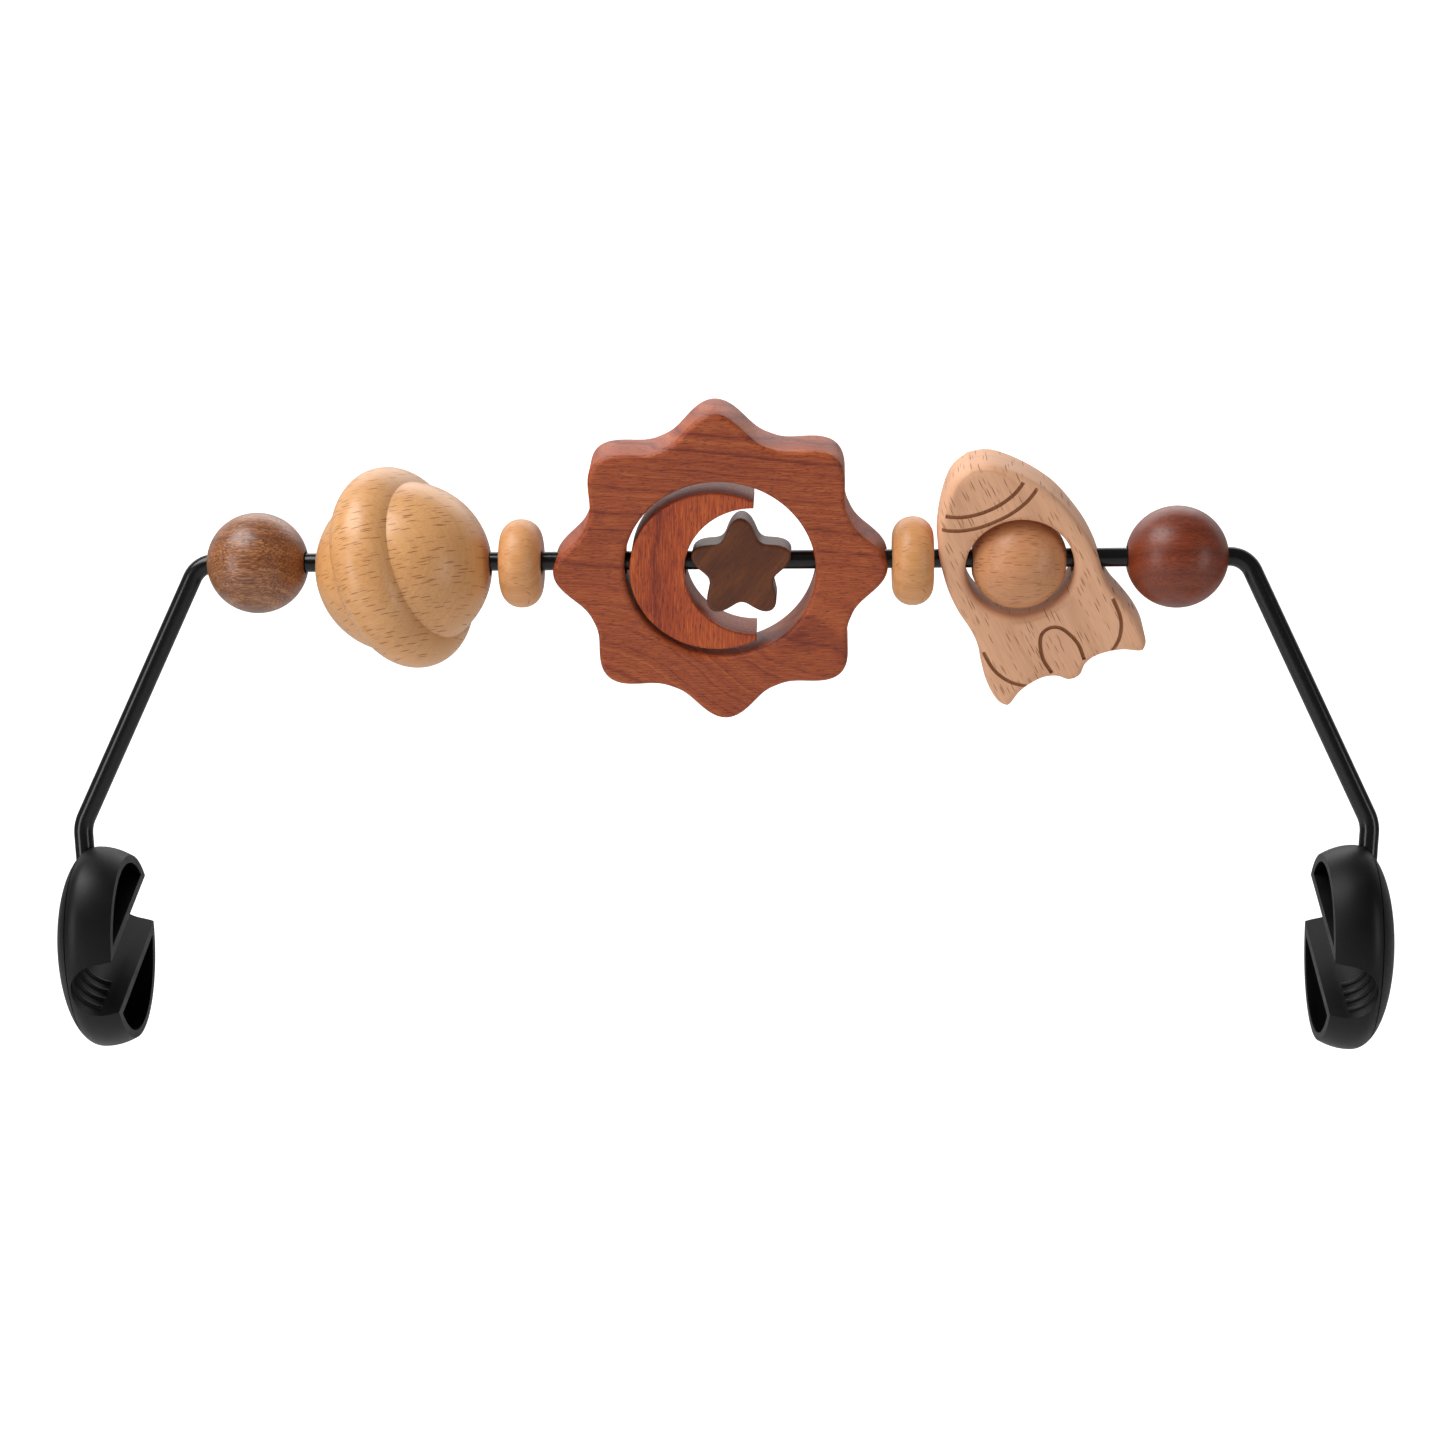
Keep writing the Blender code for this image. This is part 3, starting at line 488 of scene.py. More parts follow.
# The sun: eight rounded rays and a round window sawn from a red-brown mahogany board, its edges
# eased. The bar passes through it twice, once on each side of the window.
SUN_X = 1.1
SUN_TIP_R, SUN_VALLEY_R, SUN_HOLE_R = 52.6, 44.29, 30.09
SUN_TIPS, SUN_RAY_POWER = 8, 1.3
SUN_THICKNESS, SUN_EDGE = 15.2, 1.6
SUN_DRILL_SLANT = math.radians(0.8)
SWEPT_FROM, SWEPT_TO, SWEPT_DROP = 8.0, -45.0, 30.0
SWEPT_LEFT, SWEPT_RIGHT = -42.0, 22.0
LINE_LEAN, BOARD_TILT = 0.1, 0.35
HALVINGS, EASE_STEPS, FACE_INSET = 22, 7, 0.4
SUN_TURN = Matrix.Rotation(math.radians(27.6), 3, "X")


def rayed(tip_r, valley_r, tips, power, steps, slant=0.0):
    """Radii at even angles, clockwise from the top: valley + (tip - valley) ((1 + cos n a) / 2)^power."""
    a = np.linspace(0, math.tau, steps, endpoint=False)
    swell = ((1 + np.cos(tips * (a - slant))) / 2) ** power
    return a, valley_r + (tip_r - valley_r) * swell


def in_plane(angles, radii, depth):
    """Polar points on a board's face: (r sin a, depth, r cos a)."""
    return np.stack([radii * np.sin(angles), np.full_like(radii, depth), radii * np.cos(angles)], 1)


def set_in(angles, radii, inset):
    """Radii of the line that runs inside an outline at a constant distance.

    Along each angle the radius is halved in on until its distance to the outline, as a string of
    straight lengths, is the inset.
    """
    a = np.stack([radii * np.sin(angles), radii * np.cos(angles)], 1)
    run = np.roll(a, -1, axis=0) - a
    low, high = np.zeros_like(radii), radii.copy()
    for _ in range(HALVINGS):
        middle = (low + high) / 2
        p = np.stack([middle * np.sin(angles), middle * np.cos(angles)], 1)
        offset = p[:, None] - a[None]
        share = np.clip((offset * run).sum(2) / (run**2).sum(1), 0, 1)
        gap = np.linalg.norm(offset - share[..., None] * run, axis=2).min(1)
        low, high = np.where(gap > inset, middle, low), np.where(gap > inset, high, middle)
    return (low + high) / 2


def board_rows(angles, radii, thickness, edge, hole_r=None):
    """Rings over half a board, from the middle of its edge to the front.

    A quarter round eases the edge: set in by e (1 - cos t), and e (1 - sin t) short of the face. With
    a hole the rings go on across the face and round the hole's own eased edge to its middle.
    """
    rows = [in_plane(angles, radii, 0.0)]
    for t in np.linspace(0, math.pi / 2, EASE_STEPS):
        ring = set_in(angles, radii, edge * (1 - math.cos(t))) if t else radii
        rows.append(in_plane(angles, ring, -(thickness / 2 - edge + edge * math.sin(t))))
    if hole_r is None:
        rows.append(in_plane(angles, ring - FACE_INSET, -thickness / 2))
        return np.array(rows)
    rim = np.full_like(radii, hole_r + edge)
    for share in (0.02, 0.5, 0.98):
        rows.append(in_plane(angles, ring * (1 - share) + rim * share, -thickness / 2))
    for t in np.linspace(math.pi / 2, 0, EASE_STEPS):
        inner = np.full_like(radii, hole_r + edge * (1 - math.cos(t)))
        rows.append(in_plane(angles, inner, -(thickness / 2 - edge + edge * math.sin(t))))
    rows.append(in_plane(angles, np.full_like(radii, hole_r), 0.0))
    return np.array(rows)


def whole_board(rows, hole):
    """Both halves of a board as one closed grid, ringed through the hole or capped on both faces."""
    back = rows[::-1] * (1, -1, 1)
    if hole:
        rings = np.vstack([rows, back[1:-1]])
        return rings, quads(*rings.shape[:2], ring=True)
    rings = np.vstack([back, rows[1:]])
    return rings, capped(*rings.shape[:2])


def sun_grain(material, maths):
    """The figure of a board sawn near the heart: level lines above, swept down to the foot below.

    Height above the foot grows with z, leans with x, and gains a smooth step across x that fades in
    below the middle, so that the lines drop more steeply the lower they lie.
    """
    space = own_space(material, (SUN_X, 0, HANG_Z), SUN_TURN)
    part = add(material, "ShaderNodeSeparateXYZ", {"Vector": space}).outputs
    smooth = {"interpolation_type": "SMOOTHSTEP"}
    low = {"Value": part["Z"], "From Min": SWEPT_FROM, "From Max": SWEPT_TO, "To Max": SWEPT_DROP}
    low = add(material, "ShaderNodeMapRange", low, **smooth).outputs["Result"]
    across = {"Value": part["X"], "From Min": SWEPT_LEFT, "From Max": SWEPT_RIGHT}
    across = add(material, "ShaderNodeMapRange", across, **smooth).outputs["Result"]
    height = maths("MULTIPLY_ADD", part["X"], LINE_LEAN, part["Z"])
    height = maths("MULTIPLY_ADD", part["Y"], BOARD_TILT, height)
    return maths("MULTIPLY_ADD", low, across, height)


# Mahogany board: fine dark growth lines over red-brown, and short open pores along the grain.
mahogany_board = wood(
    "oiled_mahogany_board",
    (SUN_X, HANG_Z, SUN_TURN),
    STRAIGHT,
    ("#681d05", "#9a451e", "#b5602e"),
    "#541c0a",
    (0, 3.2, 6.0, 0.75, 0.22),
    (6, 0.4, 1.2),
    (2.6, 0.8, 0.42, 0.32, 0.95, 0.75),
    (0.44, 0.58, 0.1),
    field=sun_grain,
)
angles, radii = rayed(SUN_TIP_R, SUN_VALLEY_R, SUN_TIPS, SUN_RAY_POWER, 384, -SUN_DRILL_SLANT)
sun_rings, sun_faces = whole_board(board_rows(angles, radii, SUN_THICKNESS, SUN_EDGE, SUN_HOLE_R), True)
sun_points = placed(sun_rings, SUN_X, HANG_Z, SUN_TURN)
woodwork("sun", sun_points, sun_faces, mahogany_board, [drill(SUN_X, 60, mahogany_board)])

# The moon: a crescent sawn from redder wood with its grain upright. It is threaded on the bar inside
# the sun's window, where it turns freely.
MOON_X = -0.4
MOON_R, MOON_INNER_R, MOON_SHIFT, MOON_CUT = 26.99, 21.78, 12.09, 12.5
MOON_THICKNESS, MOON_EDGE, MOON_FACE_INSET, MOON_DROP = 12.5, 0.6, 0.25, 0.9
MOON_TURN = Matrix.Rotation(math.radians(27.5), 3, "X")


def crescent(inset):
    """A crescent set in all round: each arc's radius and the straight cut move in by the inset.

    Both arcs end where they meet the cut: at the angle whose cosine is the cut over the radius.
    """
    outer_r, inner_r, stop = MOON_R - inset, MOON_INNER_R + inset, MOON_CUT - inset
    outer_end, inner_end = math.acos(stop / outer_r), math.acos((stop - MOON_SHIFT) / inner_r)
    o = np.linspace(outer_end, math.tau - outer_end, 160)
    i = np.linspace(math.tau - inner_end, inner_end, 110)
    outer = np.stack([outer_r * np.cos(o), outer_r * np.sin(o)], 1)
    inner = np.stack([MOON_SHIFT + inner_r * np.cos(i), inner_r * np.sin(i)], 1)
    return np.vstack([outer, inner]) - (0, MOON_DROP)


def crescent_rows():
    """The crescent's rings from the middle of its edge to the front.

    A quarter round between them is set in by e (1 - cos t), and e (1 - sin t) short of the face.
    """
    rows = [(0.0, 0.0)]
    for t in np.linspace(0, math.pi / 2, 5):
        rows.append((MOON_EDGE * (1 - math.cos(t)), -(MOON_THICKNESS / 2 - MOON_EDGE * (1 - math.sin(t)))))
    rows.append((MOON_EDGE + MOON_FACE_INSET, -MOON_THICKNESS / 2))
    flat = [(crescent(inset), depth) for inset, depth in rows]
    return np.array([np.stack([p[:, 0], np.full(len(p), depth), p[:, 1]], 1) for p, depth in flat])


# Red heartwood: the reddest piece of the row, with open pores that run up and down.
UPRIGHT_GRAIN = Matrix.Rotation(math.radians(-88), 3, "Y")
red_heartwood = wood(
    "oiled_red_heartwood",
    (MOON_X, HANG_Z, MOON_TURN),
    UPRIGHT_GRAIN,
    ("#742207", "#a84417", "#ca692b"),
    "#561a09",
    (60, 4.0, 3.0, 0.5, 0.2),
    (8, 0.45, 1.4),
    (3.2, 0.8, 0.45, 0.33, 0.9, 0.75),
    (0.44, 0.58, 0.1),
)
moon_rings, moon_faces = whole_board(crescent_rows(), False)
moon_points = placed(moon_rings, MOON_X, HANG_Z, MOON_TURN)
woodwork("moon", moon_points, moon_faces, red_heartwood, [drill(MOON_X, 40, red_heartwood)])

# The star: five blunt rays in dark walnut, loose on the bar in the window's open half, next to the
# moon's horns.
STAR_X = 7.81
STAR_TIP_R, STAR_VALLEY_R = 16.31, 10.7
STAR_TIPS, STAR_RAY_POWER = 5, 1.15
STAR_THICKNESS, STAR_EDGE, STAR_DROP = 13.0, 1.0, 1.0
STAR_TURN = Matrix.Rotation(math.radians(15.5), 3, "X")
# Dark walnut: the darkest wood of the row, with broad rings that run aslant across the star.
dark_walnut = wood(
    "oiled_dark_walnut",
    (STAR_X, HANG_Z, STAR_TURN),
    Matrix.Rotation(math.radians(-52), 3, "Y"),
    ("#3a1a07", "#592a0c", "#723f1a"),
    "#2c160b",
    (30, 4.0, 4.0, 0.9, 0.3),
    (7, 0.6, 0.6),
    (2.4, 0.8, 0.5, 0.3, 0.6, 0.7),
    (0.44, 0.58, 0.1),
)
angles, radii = rayed(STAR_TIP_R, STAR_VALLEY_R, STAR_TIPS, STAR_RAY_POWER, 260)
star_rings, star_faces = whole_board(board_rows(angles, radii, STAR_THICKNESS, STAR_EDGE), False)
star_points = placed(star_rings - (0, 0, STAR_DROP), STAR_X, HANG_Z, STAR_TURN)
woodwork("star", star_points, star_faces, dark_walnut, [drill(STAR_X, 30, dark_walnut)])

# The rocket: a flat beech board with well rounded edges, its lines burnt in, and a round porthole.
# It is drilled aslant, so that it flies up to the left.
ROCKET_X = 94.8
ROCKET_NOSE, ROCKET_TAIL, ROCKET_HALF_WIDTH = 38.5, 43.8, 26.0
ROCKET_THICKNESS, ROCKET_EDGE, PORTHOLE_R = 15.5, 2.5, 16.9
BURN_R, BURN_DEPTH = 0.65, 0.45
ROCKET_TURN = Matrix.Rotation(math.radians(29.7), 3, "X") @ Matrix.Rotation(math.radians(-25.6), 3, "Y")
# The outline is given as (up, out), in shares of the nose's or the tail's length and of half the
# width, and the burnt lines as (across, up) in half widths.
ROCKET_SIDE = [
    (1.0, 0.0), (0.955, 0.22), (0.85, 0.4), (0.655, 0.615), (0.43, 0.78), (0.12, 0.885), (-0.1, 0.905),
    (-0.3, 0.875), (-0.44, 0.885), (-0.57, 0.94), (-0.72, 0.99), (-0.85, 1.0), (-0.95, 0.97), (-1.0, 0.9),
]
ROCKET_FOOT = [
    (-1.0, 0.9), (-0.985, 0.83), (-0.93, 0.68), (-0.9, 0.5), (-0.895, 0.33), (-0.925, 0.19), (-0.985, 0.09),
    (-1.0, 0.0),
]
BURNT_LINES = [
    [(-0.5, 1.055), (-0.35, 0.97), (-0.175, 0.92), (0.0, 0.905), (0.175, 0.92), (0.35, 0.97), (0.5, 1.055)],
    [(-0.615, 0.91), (-0.43, 0.81), (-0.215, 0.75), (0.0, 0.735), (0.215, 0.75), (0.43, 0.81), (0.615, 0.91)],
    [
        (-0.215, -1.46), (-0.23, -1.2), (-0.14, -0.94), (0.0, -0.865), (0.14, -0.94), (0.23, -1.2),
        (0.215, -1.46),
    ],
    [(-0.85, -0.83), (-0.83, -1.12), (-0.73, -1.34), (-0.57, -1.495)],
    [(0.85, -0.83), (0.83, -1.12), (0.73, -1.34), (0.57, -1.495)],
]


def through(points, steps):
    """A smooth line through points.

    Each span is the cubic whose slope at either end is half the chord between that end's neighbours.
    """
    p = np.array(points, float)
    p = np.vstack([2 * p[0] - p[1], p, 2 * p[-1] - p[-2]])
    a, b, c, d = (p[k : len(p) - 3 + k, None] for k in range(4))
    t = np.linspace(0, 1, steps, endpoint=False)[None, :, None]
    spans = b + 0.5 * ((c - a) * t + (2 * a - 5 * b + 4 * c - d) * t**2 + (3 * b - a - 3 * c + d) * t**3)
    return np.vstack([spans.reshape(-1, 2), p[-2:-1]])


def rocket_radii(steps):
    """The rocket's outline as radii from the porthole's centre, read off at even angles from the nose."""

    def reach(share):
        up, out = share
        return out * ROCKET_HALF_WIDTH, up * (ROCKET_NOSE if up > 0 else ROCKET_TAIL)

    half = np.vstack([through([reach(s) for s in run], 40) for run in (ROCKET_SIDE, ROCKET_FOOT)])
    angle, radius = np.arctan2(half[:, 0], half[:, 1]), np.hypot(half[:, 0], half[:, 1])
    order = np.argsort(angle)
    a = np.linspace(0, math.tau, steps, endpoint=False)
    return a, np.interp(np.minimum(a, math.tau - a), angle[order], radius[order])


def burn_tool(line, material):
    """A round bar sunk by the burn's depth in the rocket's front face, along one of its lines."""
    flat = through(line, 8) * ROCKET_HALF_WIDTH
    depth = BURN_R - BURN_DEPTH - ROCKET_THICKNESS / 2
    path = np.stack([flat[:, 0], np.full(len(flat), depth), flat[:, 1]], 1)
    rings = tube(path, BURN_R, 20, (0, 1, 0))
    points = placed(rings, ROCKET_X, HANG_Z, ROCKET_TURN)
    return mesh_of("burn", points, capped(*rings.shape[:2]), material)


# Steamed beech: pinker than plain beech, with the same flecks along the rocket's length.
UP_THE_ROCKET = Matrix.Rotation(math.radians(-90), 3, "Y")
steamed_beech = wood(
    "oiled_steamed_beech",
    (ROCKET_X, HANG_Z, ROCKET_TURN),
    UP_THE_ROCKET,
    ("#be8b69", "#dca783", "#ebbe9f"),
    "#84502f",
    (120, 2.8, 1.5, 0.12, 0.2),
    (12, 0.5, 0.45),
    (8.5, 9.0, 0.62, 0.29, 0.9, 0.8),
    (0.44, 0.58, 0.08),
)
# Burnt beech: charred brown by a hot wire, matt, darker where the wire paused.
burnt_beech = wood(
    "burnt_beech",
    (ROCKET_X, HANG_Z, ROCKET_TURN),
    UP_THE_ROCKET,
    ("#8a5636", "#a26c48", "#b6825e"),
    "#75452a",
    (120, 2.8, 1.5, 0.4, 0.2),
    (3, 0.8, 0.8),
    (4.0, 8.0, 1.2, 0.25, 0.6, 0.5),
    (0.6, 0.75, 0.0),
)
angles, radii = rocket_radii(600)
rocket_rings, rocket_faces = whole_board(
    board_rows(angles, radii, ROCKET_THICKNESS, ROCKET_EDGE, PORTHOLE_R), True
)
rocket_points = placed(rocket_rings, ROCKET_X, HANG_Z, ROCKET_TURN)
burns = [burn_tool(line, burnt_beech) for line in BURNT_LINES]
woodwork("rocket", rocket_points, rocket_faces, steamed_beech, [drill(ROCKET_X, 60, steamed_beech), *burns])

# The ball in the rocket's porthole: beech again, turned with its grain along the bar and loose on it,
# so that it spins inside the rocket.
PORTHOLE_BALL_R = 15.2
# Beech a shade darker than the rocket's, with flecks and fibres that lie level.
beech_ball = wood(
    "oiled_beech_ball",
    (ROCKET_X, HANG_Z, STRAIGHT),
    STRAIGHT,
    ("#9b6238", "#c08459", "#d5a077"),
    "#7d4a26",
    (30, 3.4, 0.8, 0.22, 0.06),
    (12, 0.5, 0.6),
    (6.0, 8.0, 0.55, 0.3, 0.95, 0.7),
    (0.4, 0.52, 0.2),
)
bead("porthole_ball", half_circle(PORTHOLE_BALL_R, BORE_R), BORE_R, ROCKET_X, HANG_Z, beech_ball)

# The clamps: hollow black mouldings that take the wire's tails and are pressed onto the bouncer's
# side tubes. A ribbed channel that slopes to the front grips the tube. One mirrors the other.
CLAMP_X = 203.607
CLAMP_HALF_DEPTH, CLAMP_HALF_HEIGHT = 26.0, 33.4
CLAMP_TURN = Matrix.Rotation(math.radians(19.7), 3, "X")
CLAMP_BACK_SHIFT, WIRE_FROM_INNER_FACE = 3.5, 14.5
RIM_WIDTH, DOME_DEPTH, DOME_POWER, RIM_TAPER = 9.6, 12.0, 2.2, 0.085
CLAMP_WALL, CORE_DEPTH = 3.0, 15.0
CLAMP_SIDES, SHORT_OF_POLE = 120, math.radians(89.4)
CHANNEL_HALF, CHANNEL_FLOOR, CHANNEL_REACH, CUT_OVERRUN = 9.2, 13.5, 70.0, 2.0
CHANNEL_TURN = Matrix.Rotation(math.radians(32), 3, "X")
RIB_COUNT, RIB_R, RIB_PITCH, FIRST_RIB, RIB_SUNK = 4, 0.9, 4.0, -7.0, 0.22
BOSS_R, SOCKET_R = 6.2, 3.3
TAIL_LEAN = math.radians(4)
SOCKET_HEIGHTS = (9.2, 15.55, 35.4)
PARTING_DEPTH, PARTING_HALF_WIDTH = 0.3, 0.38


def clamp_oval(shrink, start, crown, parting, material):
    """A domed oval, set in by shrink, from a depth behind its inner face to its crown.

    Its height swells over the rim as 1 - taper (1 - depth / rim)^2, and falls over the dome as a
    rounded square's side does, (1 - share^2.2)^(1 / 2.2). A fine parting line is sunk round it in
    the wire's plane, where the two halves of the mould met.
    """
    over_dome = np.sin(np.linspace(0, SHORT_OF_POLE, 40))
    dome = RIM_WIDTH + (crown - RIM_WIDTH) * over_dome
    depth = np.concatenate([[start], np.linspace(0, RIM_WIDTH, 14)[1:-1], dome])
    line = WIRE_FROM_INNER_FACE + PARTING_HALF_WIDTH * np.array([-1, -0.4, 0.4, 1])
    depth = np.sort(np.concatenate([depth, line])) if parting else depth
    over_rim = 1 - RIM_TAPER * (1 - np.clip(depth, 0, RIM_WIDTH) / RIM_WIDTH) ** 2
    past = np.clip((depth - RIM_WIDTH) / (crown - RIM_WIDTH), 0, 1)
    height = (CLAMP_HALF_HEIGHT - shrink) * over_rim * (1 - past**DOME_POWER) ** (1 / DOME_POWER)
    in_line = np.abs(depth - WIRE_FROM_INNER_FACE) < PARTING_HALF_WIDTH * 0.5
    height -= PARTING_DEPTH * parting * in_line
    narrow = (CLAMP_HALF_DEPTH - shrink) / (CLAMP_HALF_HEIGHT - shrink)
    rings = turned(np.stack([depth, height], 1), CLAMP_SIDES) * (1, narrow, 1)
    points = rings.reshape(-1, 3) @ np.array(CLAMP_TURN).T + (-WIRE_FROM_INNER_FACE, CLAMP_BACK_SHIFT, 0)
    return mesh_of("oval", points, capped(*rings.shape[:2]), material)


def channel_bar(outline, material):
    """An outline of (outward, across) carried along the channel, past both ends of the clamp."""
    ends = [
        np.stack([outline[:, 0], np.full(len(outline), y), outline[:, 1]], 1)
        for y in (-CHANNEL_REACH, CHANNEL_REACH)
    ]
    points = np.array(ends).reshape(-1, 3) @ np.array(CHANNEL_TURN).T
    return mesh_of("bar", points, capped(2, len(outline)), material)


def round_floor(radius, half_sweep, steps):
    """Points round the channel's floor, as (outward, across)."""
    t = np.linspace(half_sweep, -half_sweep, steps)
    centre = CHANNEL_FLOOR - WIRE_FROM_INNER_FACE - CHANNEL_HALF
    return np.stack([centre + radius * np.cos(t), radius * np.sin(t)], 1)


def grip_rib(along, material):
    """A half-round rib bent round the channel's floor, part sunk in it."""
    arc = round_floor(CHANNEL_HALF + RIB_SUNK, math.radians(80), 24)
    path = np.stack([arc[:, 0], np.full(len(arc), along), arc[:, 1]], 1)
    rings = tube(path, RIB_R, 16, (0, 1, 0))
    return mesh_of("rib", rings.reshape(-1, 3) @ np.array(CHANNEL_TURN).T, capped(*rings.shape[:2]), material)


# Satin black polyamide, moulded in a finely etched tool: near black, with a broad soft highlight. The
# etched grain is drawn at half a millimetre, several times its real size.
black_polymer, shader = finish("satin_black_polymer", {"IOR": 1.49, "Specular IOR Level": 0.2})
space = own_space(black_polymer, (0, 0, 0))
skin = {"Vector": space, "Scale": 1 / 0.5, "Detail": 2.0}
skin = add(black_polymer, "ShaderNodeTexNoise", skin).outputs["Fac"]
flow = {"Vector": space, "Scale": 1 / 14, "Detail": 3.0}
flow = add(black_polymer, "ShaderNodeTexNoise", flow).outputs["Fac"]
black = [(0.3, "#070708"), (0.7, "#0e0e0f")]
black = add(black_polymer, "ShaderNodeValToRGB", {"Fac": flow}, black).outputs["Color"]
rough = spread(black_polymer, flow, 0.3, 0.7, 0.38, 0.5)
bump = add(black_polymer, "ShaderNodeBump", {"Height": skin, "Strength": 0.35, "Distance": 0.08 * MM})
wire_up(black_polymer, shader, {"Base Color": black, "Roughness": rough, "Normal": bump.outputs["Normal"]})

tail = [((height - CLAMP_HALF_HEIGHT) * math.tan(TAIL_LEAN), 0, height) for height in SOCKET_HEIGHTS]
half_block = CHANNEL_HALF + CLAMP_WALL
near, far = -WIRE_FROM_INNER_FACE - 2 * CUT_OVERRUN, RIM_WIDTH + DOME_DEPTH
block = np.array([(near, half_block), (far, half_block), (far, -half_block), (near, -half_block)])
mouth = -WIRE_FROM_INNER_FACE - CUT_OVERRUN
channel_floor = round_floor(CHANNEL_HALF, math.pi / 2, 40)
channel = np.vstack([[(mouth, CHANNEL_HALF)], channel_floor, [(mouth, -CHANNEL_HALF)]])
core = carved(
    clamp_oval(CLAMP_WALL, -CUT_OVERRUN, CORE_DEPTH, False, black_polymer),
    [channel_bar(block, black_polymer), rod(tail[0], tail[2], BOSS_R, black_polymer)],
)
moulding = carved(
    clamp_oval(0, 0, RIM_WIDTH + DOME_DEPTH, True, black_polymer),
    [core, channel_bar(channel, black_polymer), rod(tail[1], tail[2], SOCKET_R, black_polymer)],
    [grip_rib(FIRST_RIB - RIB_PITCH * k, black_polymer) for k in range(RIB_COUNT)],
)
corners = np.empty(len(moulding.vertices) * 3)
moulding.vertices.foreach_get("co", corners)
corners = corners.reshape(-1, 3) / MM + (CLAMP_X, 0, 0)
walls = [list(face.vertices) for face in moulding.polygons]
for name, side in (("left_clamp", -1), ("right_clamp", 1)):
    shown(name, mesh_of(name, corners * (side, 1, 1), walls, black_polymer), "arch")

# The floor and the sweep behind it: white paper, well below the arch, which is held up by its clamps.
# To the camera the paper also glows, by enough to be white all over. In what the pieces mirror only the
# wall's upper part glows, between two heights in metres, which whitens edges that face upwards.
FLOOR_Z = -300.0
FLOOR_REACH, WALL_Y, SWEEP_R, WALL_HEIGHT = 4000, 1800, 600, 4000
WALL_FROM, WALL_TO = 0.4, 1.6
PAPER_GLOW = 0.85


def seen_directly(material):
    """One for a ray that left the camera or came through something clear, and all the ray's kinds."""
    rays = add(material, "ShaderNodeLightPath", {}).outputs
    either = {0: rays["Is Camera Ray"], 1: rays["Is Transmission Ray"]}
    return add(material, "ShaderNodeMath", either, operation="MAXIMUM").outputs[0], rays


paper, shader = finish("white_paper", {"Base Color": linear("#f4f4f3"), "Roughness": 0.9})
seen, rays = seen_directly(paper)
where = add(paper, "ShaderNodeTexCoord", {}).outputs["Object"]
raised = add(paper, "ShaderNodeSeparateXYZ", {"Vector": where}).outputs["Z"]
wall = spread(paper, raised, WALL_FROM, WALL_TO, 0.0, 1.0)
mirrored = add(paper, "ShaderNodeMath", {0: rays["Is Glossy Ray"], 1: wall}, operation="MULTIPLY").outputs[0]
shown_to = add(paper, "ShaderNodeMath", {0: seen, 1: mirrored}, operation="MAXIMUM").outputs[0]
lift = add(paper, "ShaderNodeMath", {0: shown_to, 1: PAPER_GLOW}, operation="MULTIPLY").outputs[0]
glow = add(paper, "ShaderNodeEmission", {"Color": (1, 1, 1, 1), "Strength": lift})
both = add(paper, "ShaderNodeAddShader", {0: shader.outputs["BSDF"], 1: glow.outputs[0]})
paper.cycles.emission_sampling = "NONE"
paper.node_tree.links.new(both.outputs[0], paper.node_tree.nodes["Material Output"].inputs["Surface"])
u = np.linspace(0, math.pi / 2, 40)
bend = (WALL_Y - SWEEP_R, SWEEP_R) + SWEEP_R * np.stack([np.sin(u), -np.cos(u)], 1)
side_view = np.vstack([[(-FLOOR_REACH, 0)], bend, [(WALL_Y, WALL_HEIGHT)]]) + (0, FLOOR_Z)
rows = [
    np.stack([np.full(len(side_view), x), side_view[:, 0], side_view[:, 1]], 1)
    for x in (-FLOOR_REACH, FLOOR_REACH)
]
corner = np.arange(len(side_view) - 1)[:, None] * 2
sheet = bpy.data.meshes.new("paper_sweep")
sheet.from_pydata((np.stack(rows, 1).reshape(-1, 3) * MM).tolist(), [], (corner + (0, 1, 3, 2)).tolist())
sheet.materials.append(paper)
sheet.shade_smooth()
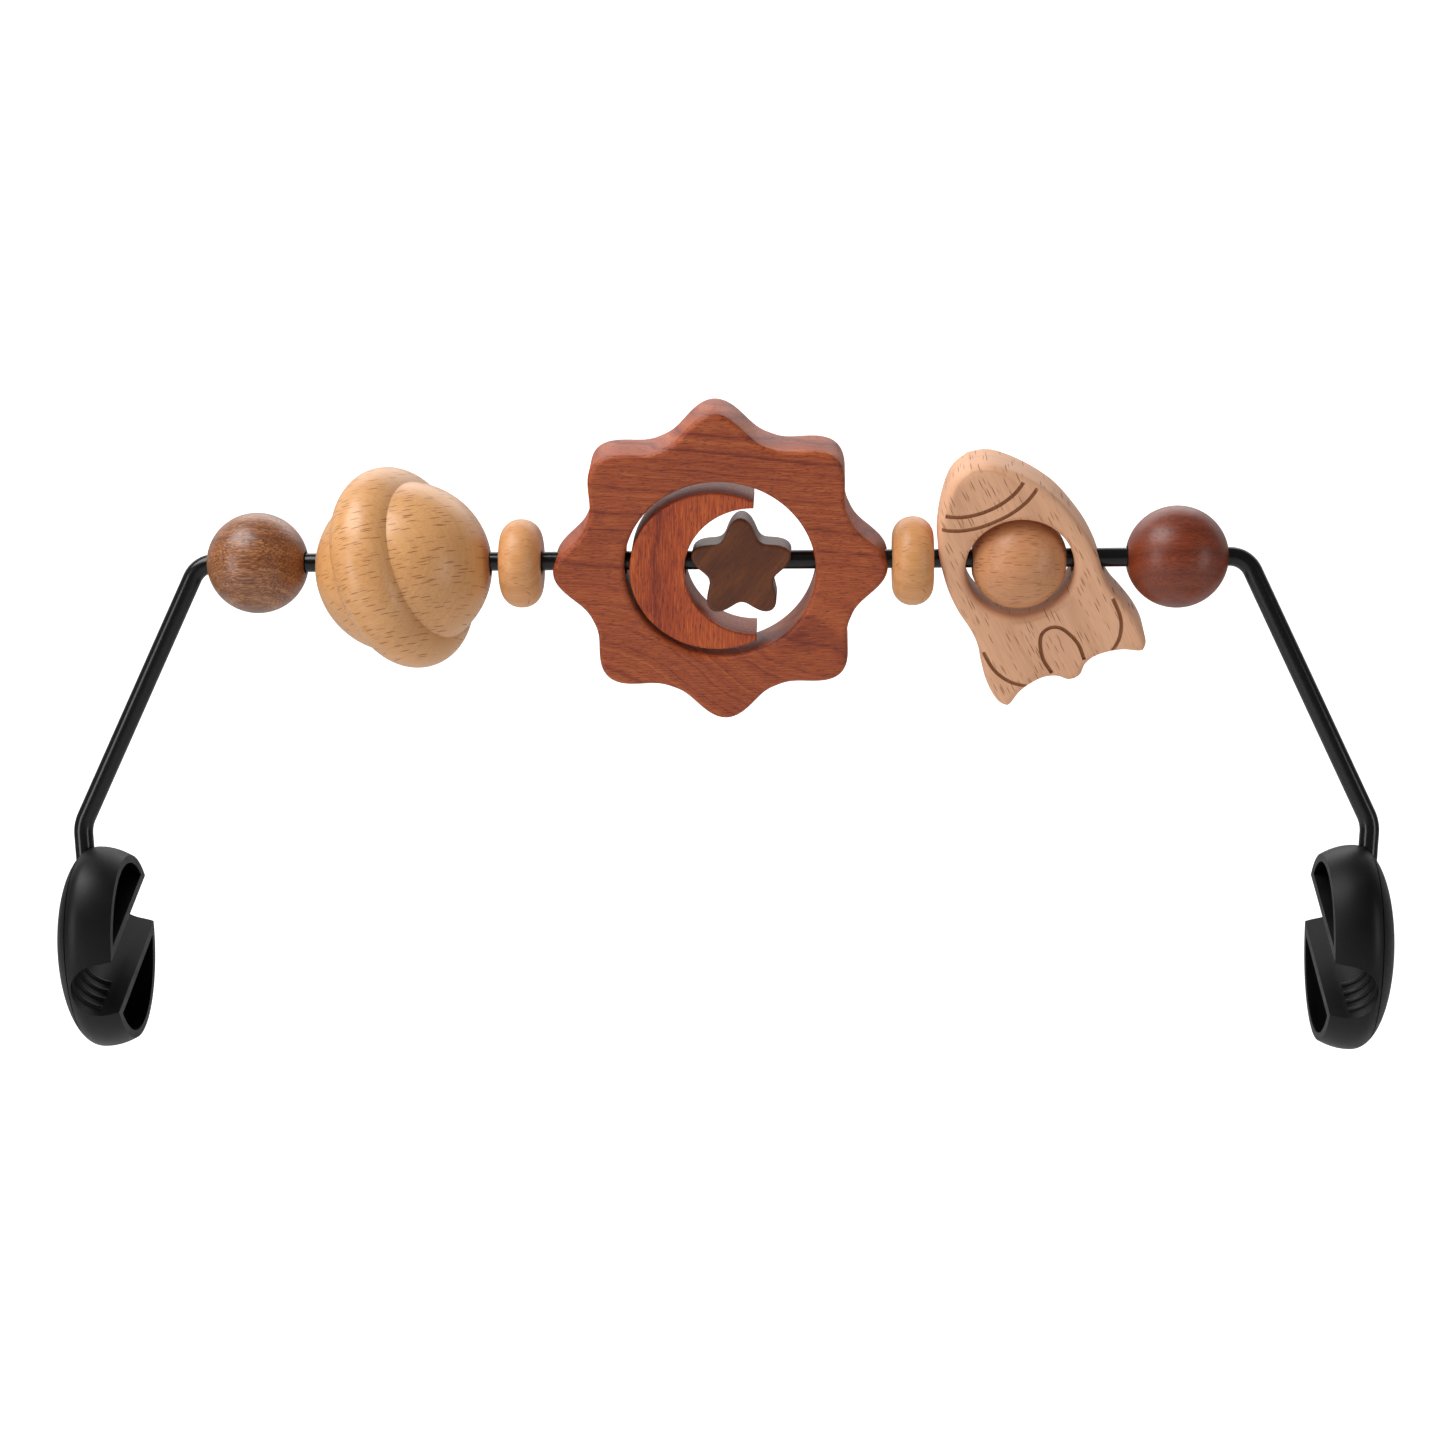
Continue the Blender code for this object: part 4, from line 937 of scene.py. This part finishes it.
backdrop = bpy.data.objects.new("paper_sweep", sheet)
bpy.context.scene.collection.objects.link(backdrop)

# Soft studio light: a large key high on the left, an upright panel low on each side, and a broad one
# above and behind that whitens the tops. Each has its place and size in metres and its power in watts.
LIGHTS = [
    ("key", (-0.6, -0.5, 1.0), 0.9, 0.7, 15.0),
    ("left_panel", (-1.0, -0.8, 0.0), 0.4, 0.9, 5.6),
    ("right_panel", (1.1, -0.65, -0.05), 0.35, 0.8, 3.0),
    ("top_panel", (0.0, 0.75, 1.05), 1.3, 0.8, 4.5),
]
AIM = Vector((0, 0, 0.09))
for name, place, width, height, power in LIGHTS:
    lamp = bpy.data.lights.new(name, "AREA")
    lamp.shape, lamp.size, lamp.size_y, lamp.energy = "RECTANGLE", width, height, power
    stand = bpy.data.objects.new(name, lamp)
    stand.location = place
    stand.rotation_euler = (AIM - Vector(place)).to_track_quat("-Z", "Y").to_euler()
    bpy.context.scene.collection.objects.link(stand)

# The studio round them: a room that lights the toys dimly, so that their dark sides stay dark, and is
# white where it is seen.
ROOM_LIGHT = 0.2
studio = bpy.data.worlds.new("studio")
studio.use_nodes = True
bpy.context.scene.world = studio
seen, _ = seen_directly(studio)
strength = spread(studio, seen, 0.0, 1.0, ROOM_LIGHT, 1.0)
background = studio.node_tree.nodes["Background"]
background.inputs["Color"].default_value = (1, 1, 1, 1)
studio.node_tree.links.new(strength, background.inputs["Strength"])

# The camera: level with the top of the arms and a little to the right, tipped down by a degree and
# a half, as the photograph's perspective shows.
CAMERA_AT = (0.03722, -0.75815, 0.09145)
camera = bpy.data.cameras.new("camera")
camera.lens, camera.sensor_width = 59.79, 36.0
view = bpy.data.objects.new("camera", camera)
right, up = Vector((0.998884, 0.046976, -0.004973)), Vector((0.003737, 0.026347, 0.999646))
axes = Matrix((right, up, right.cross(up))).transposed().to_4x4()
view.matrix_world = Matrix.Translation(CAMERA_AT) @ axes
bpy.context.scene.collection.objects.link(view)
bpy.context.scene.camera = view
bpy.context.scene.view_settings.view_transform = "Standard"
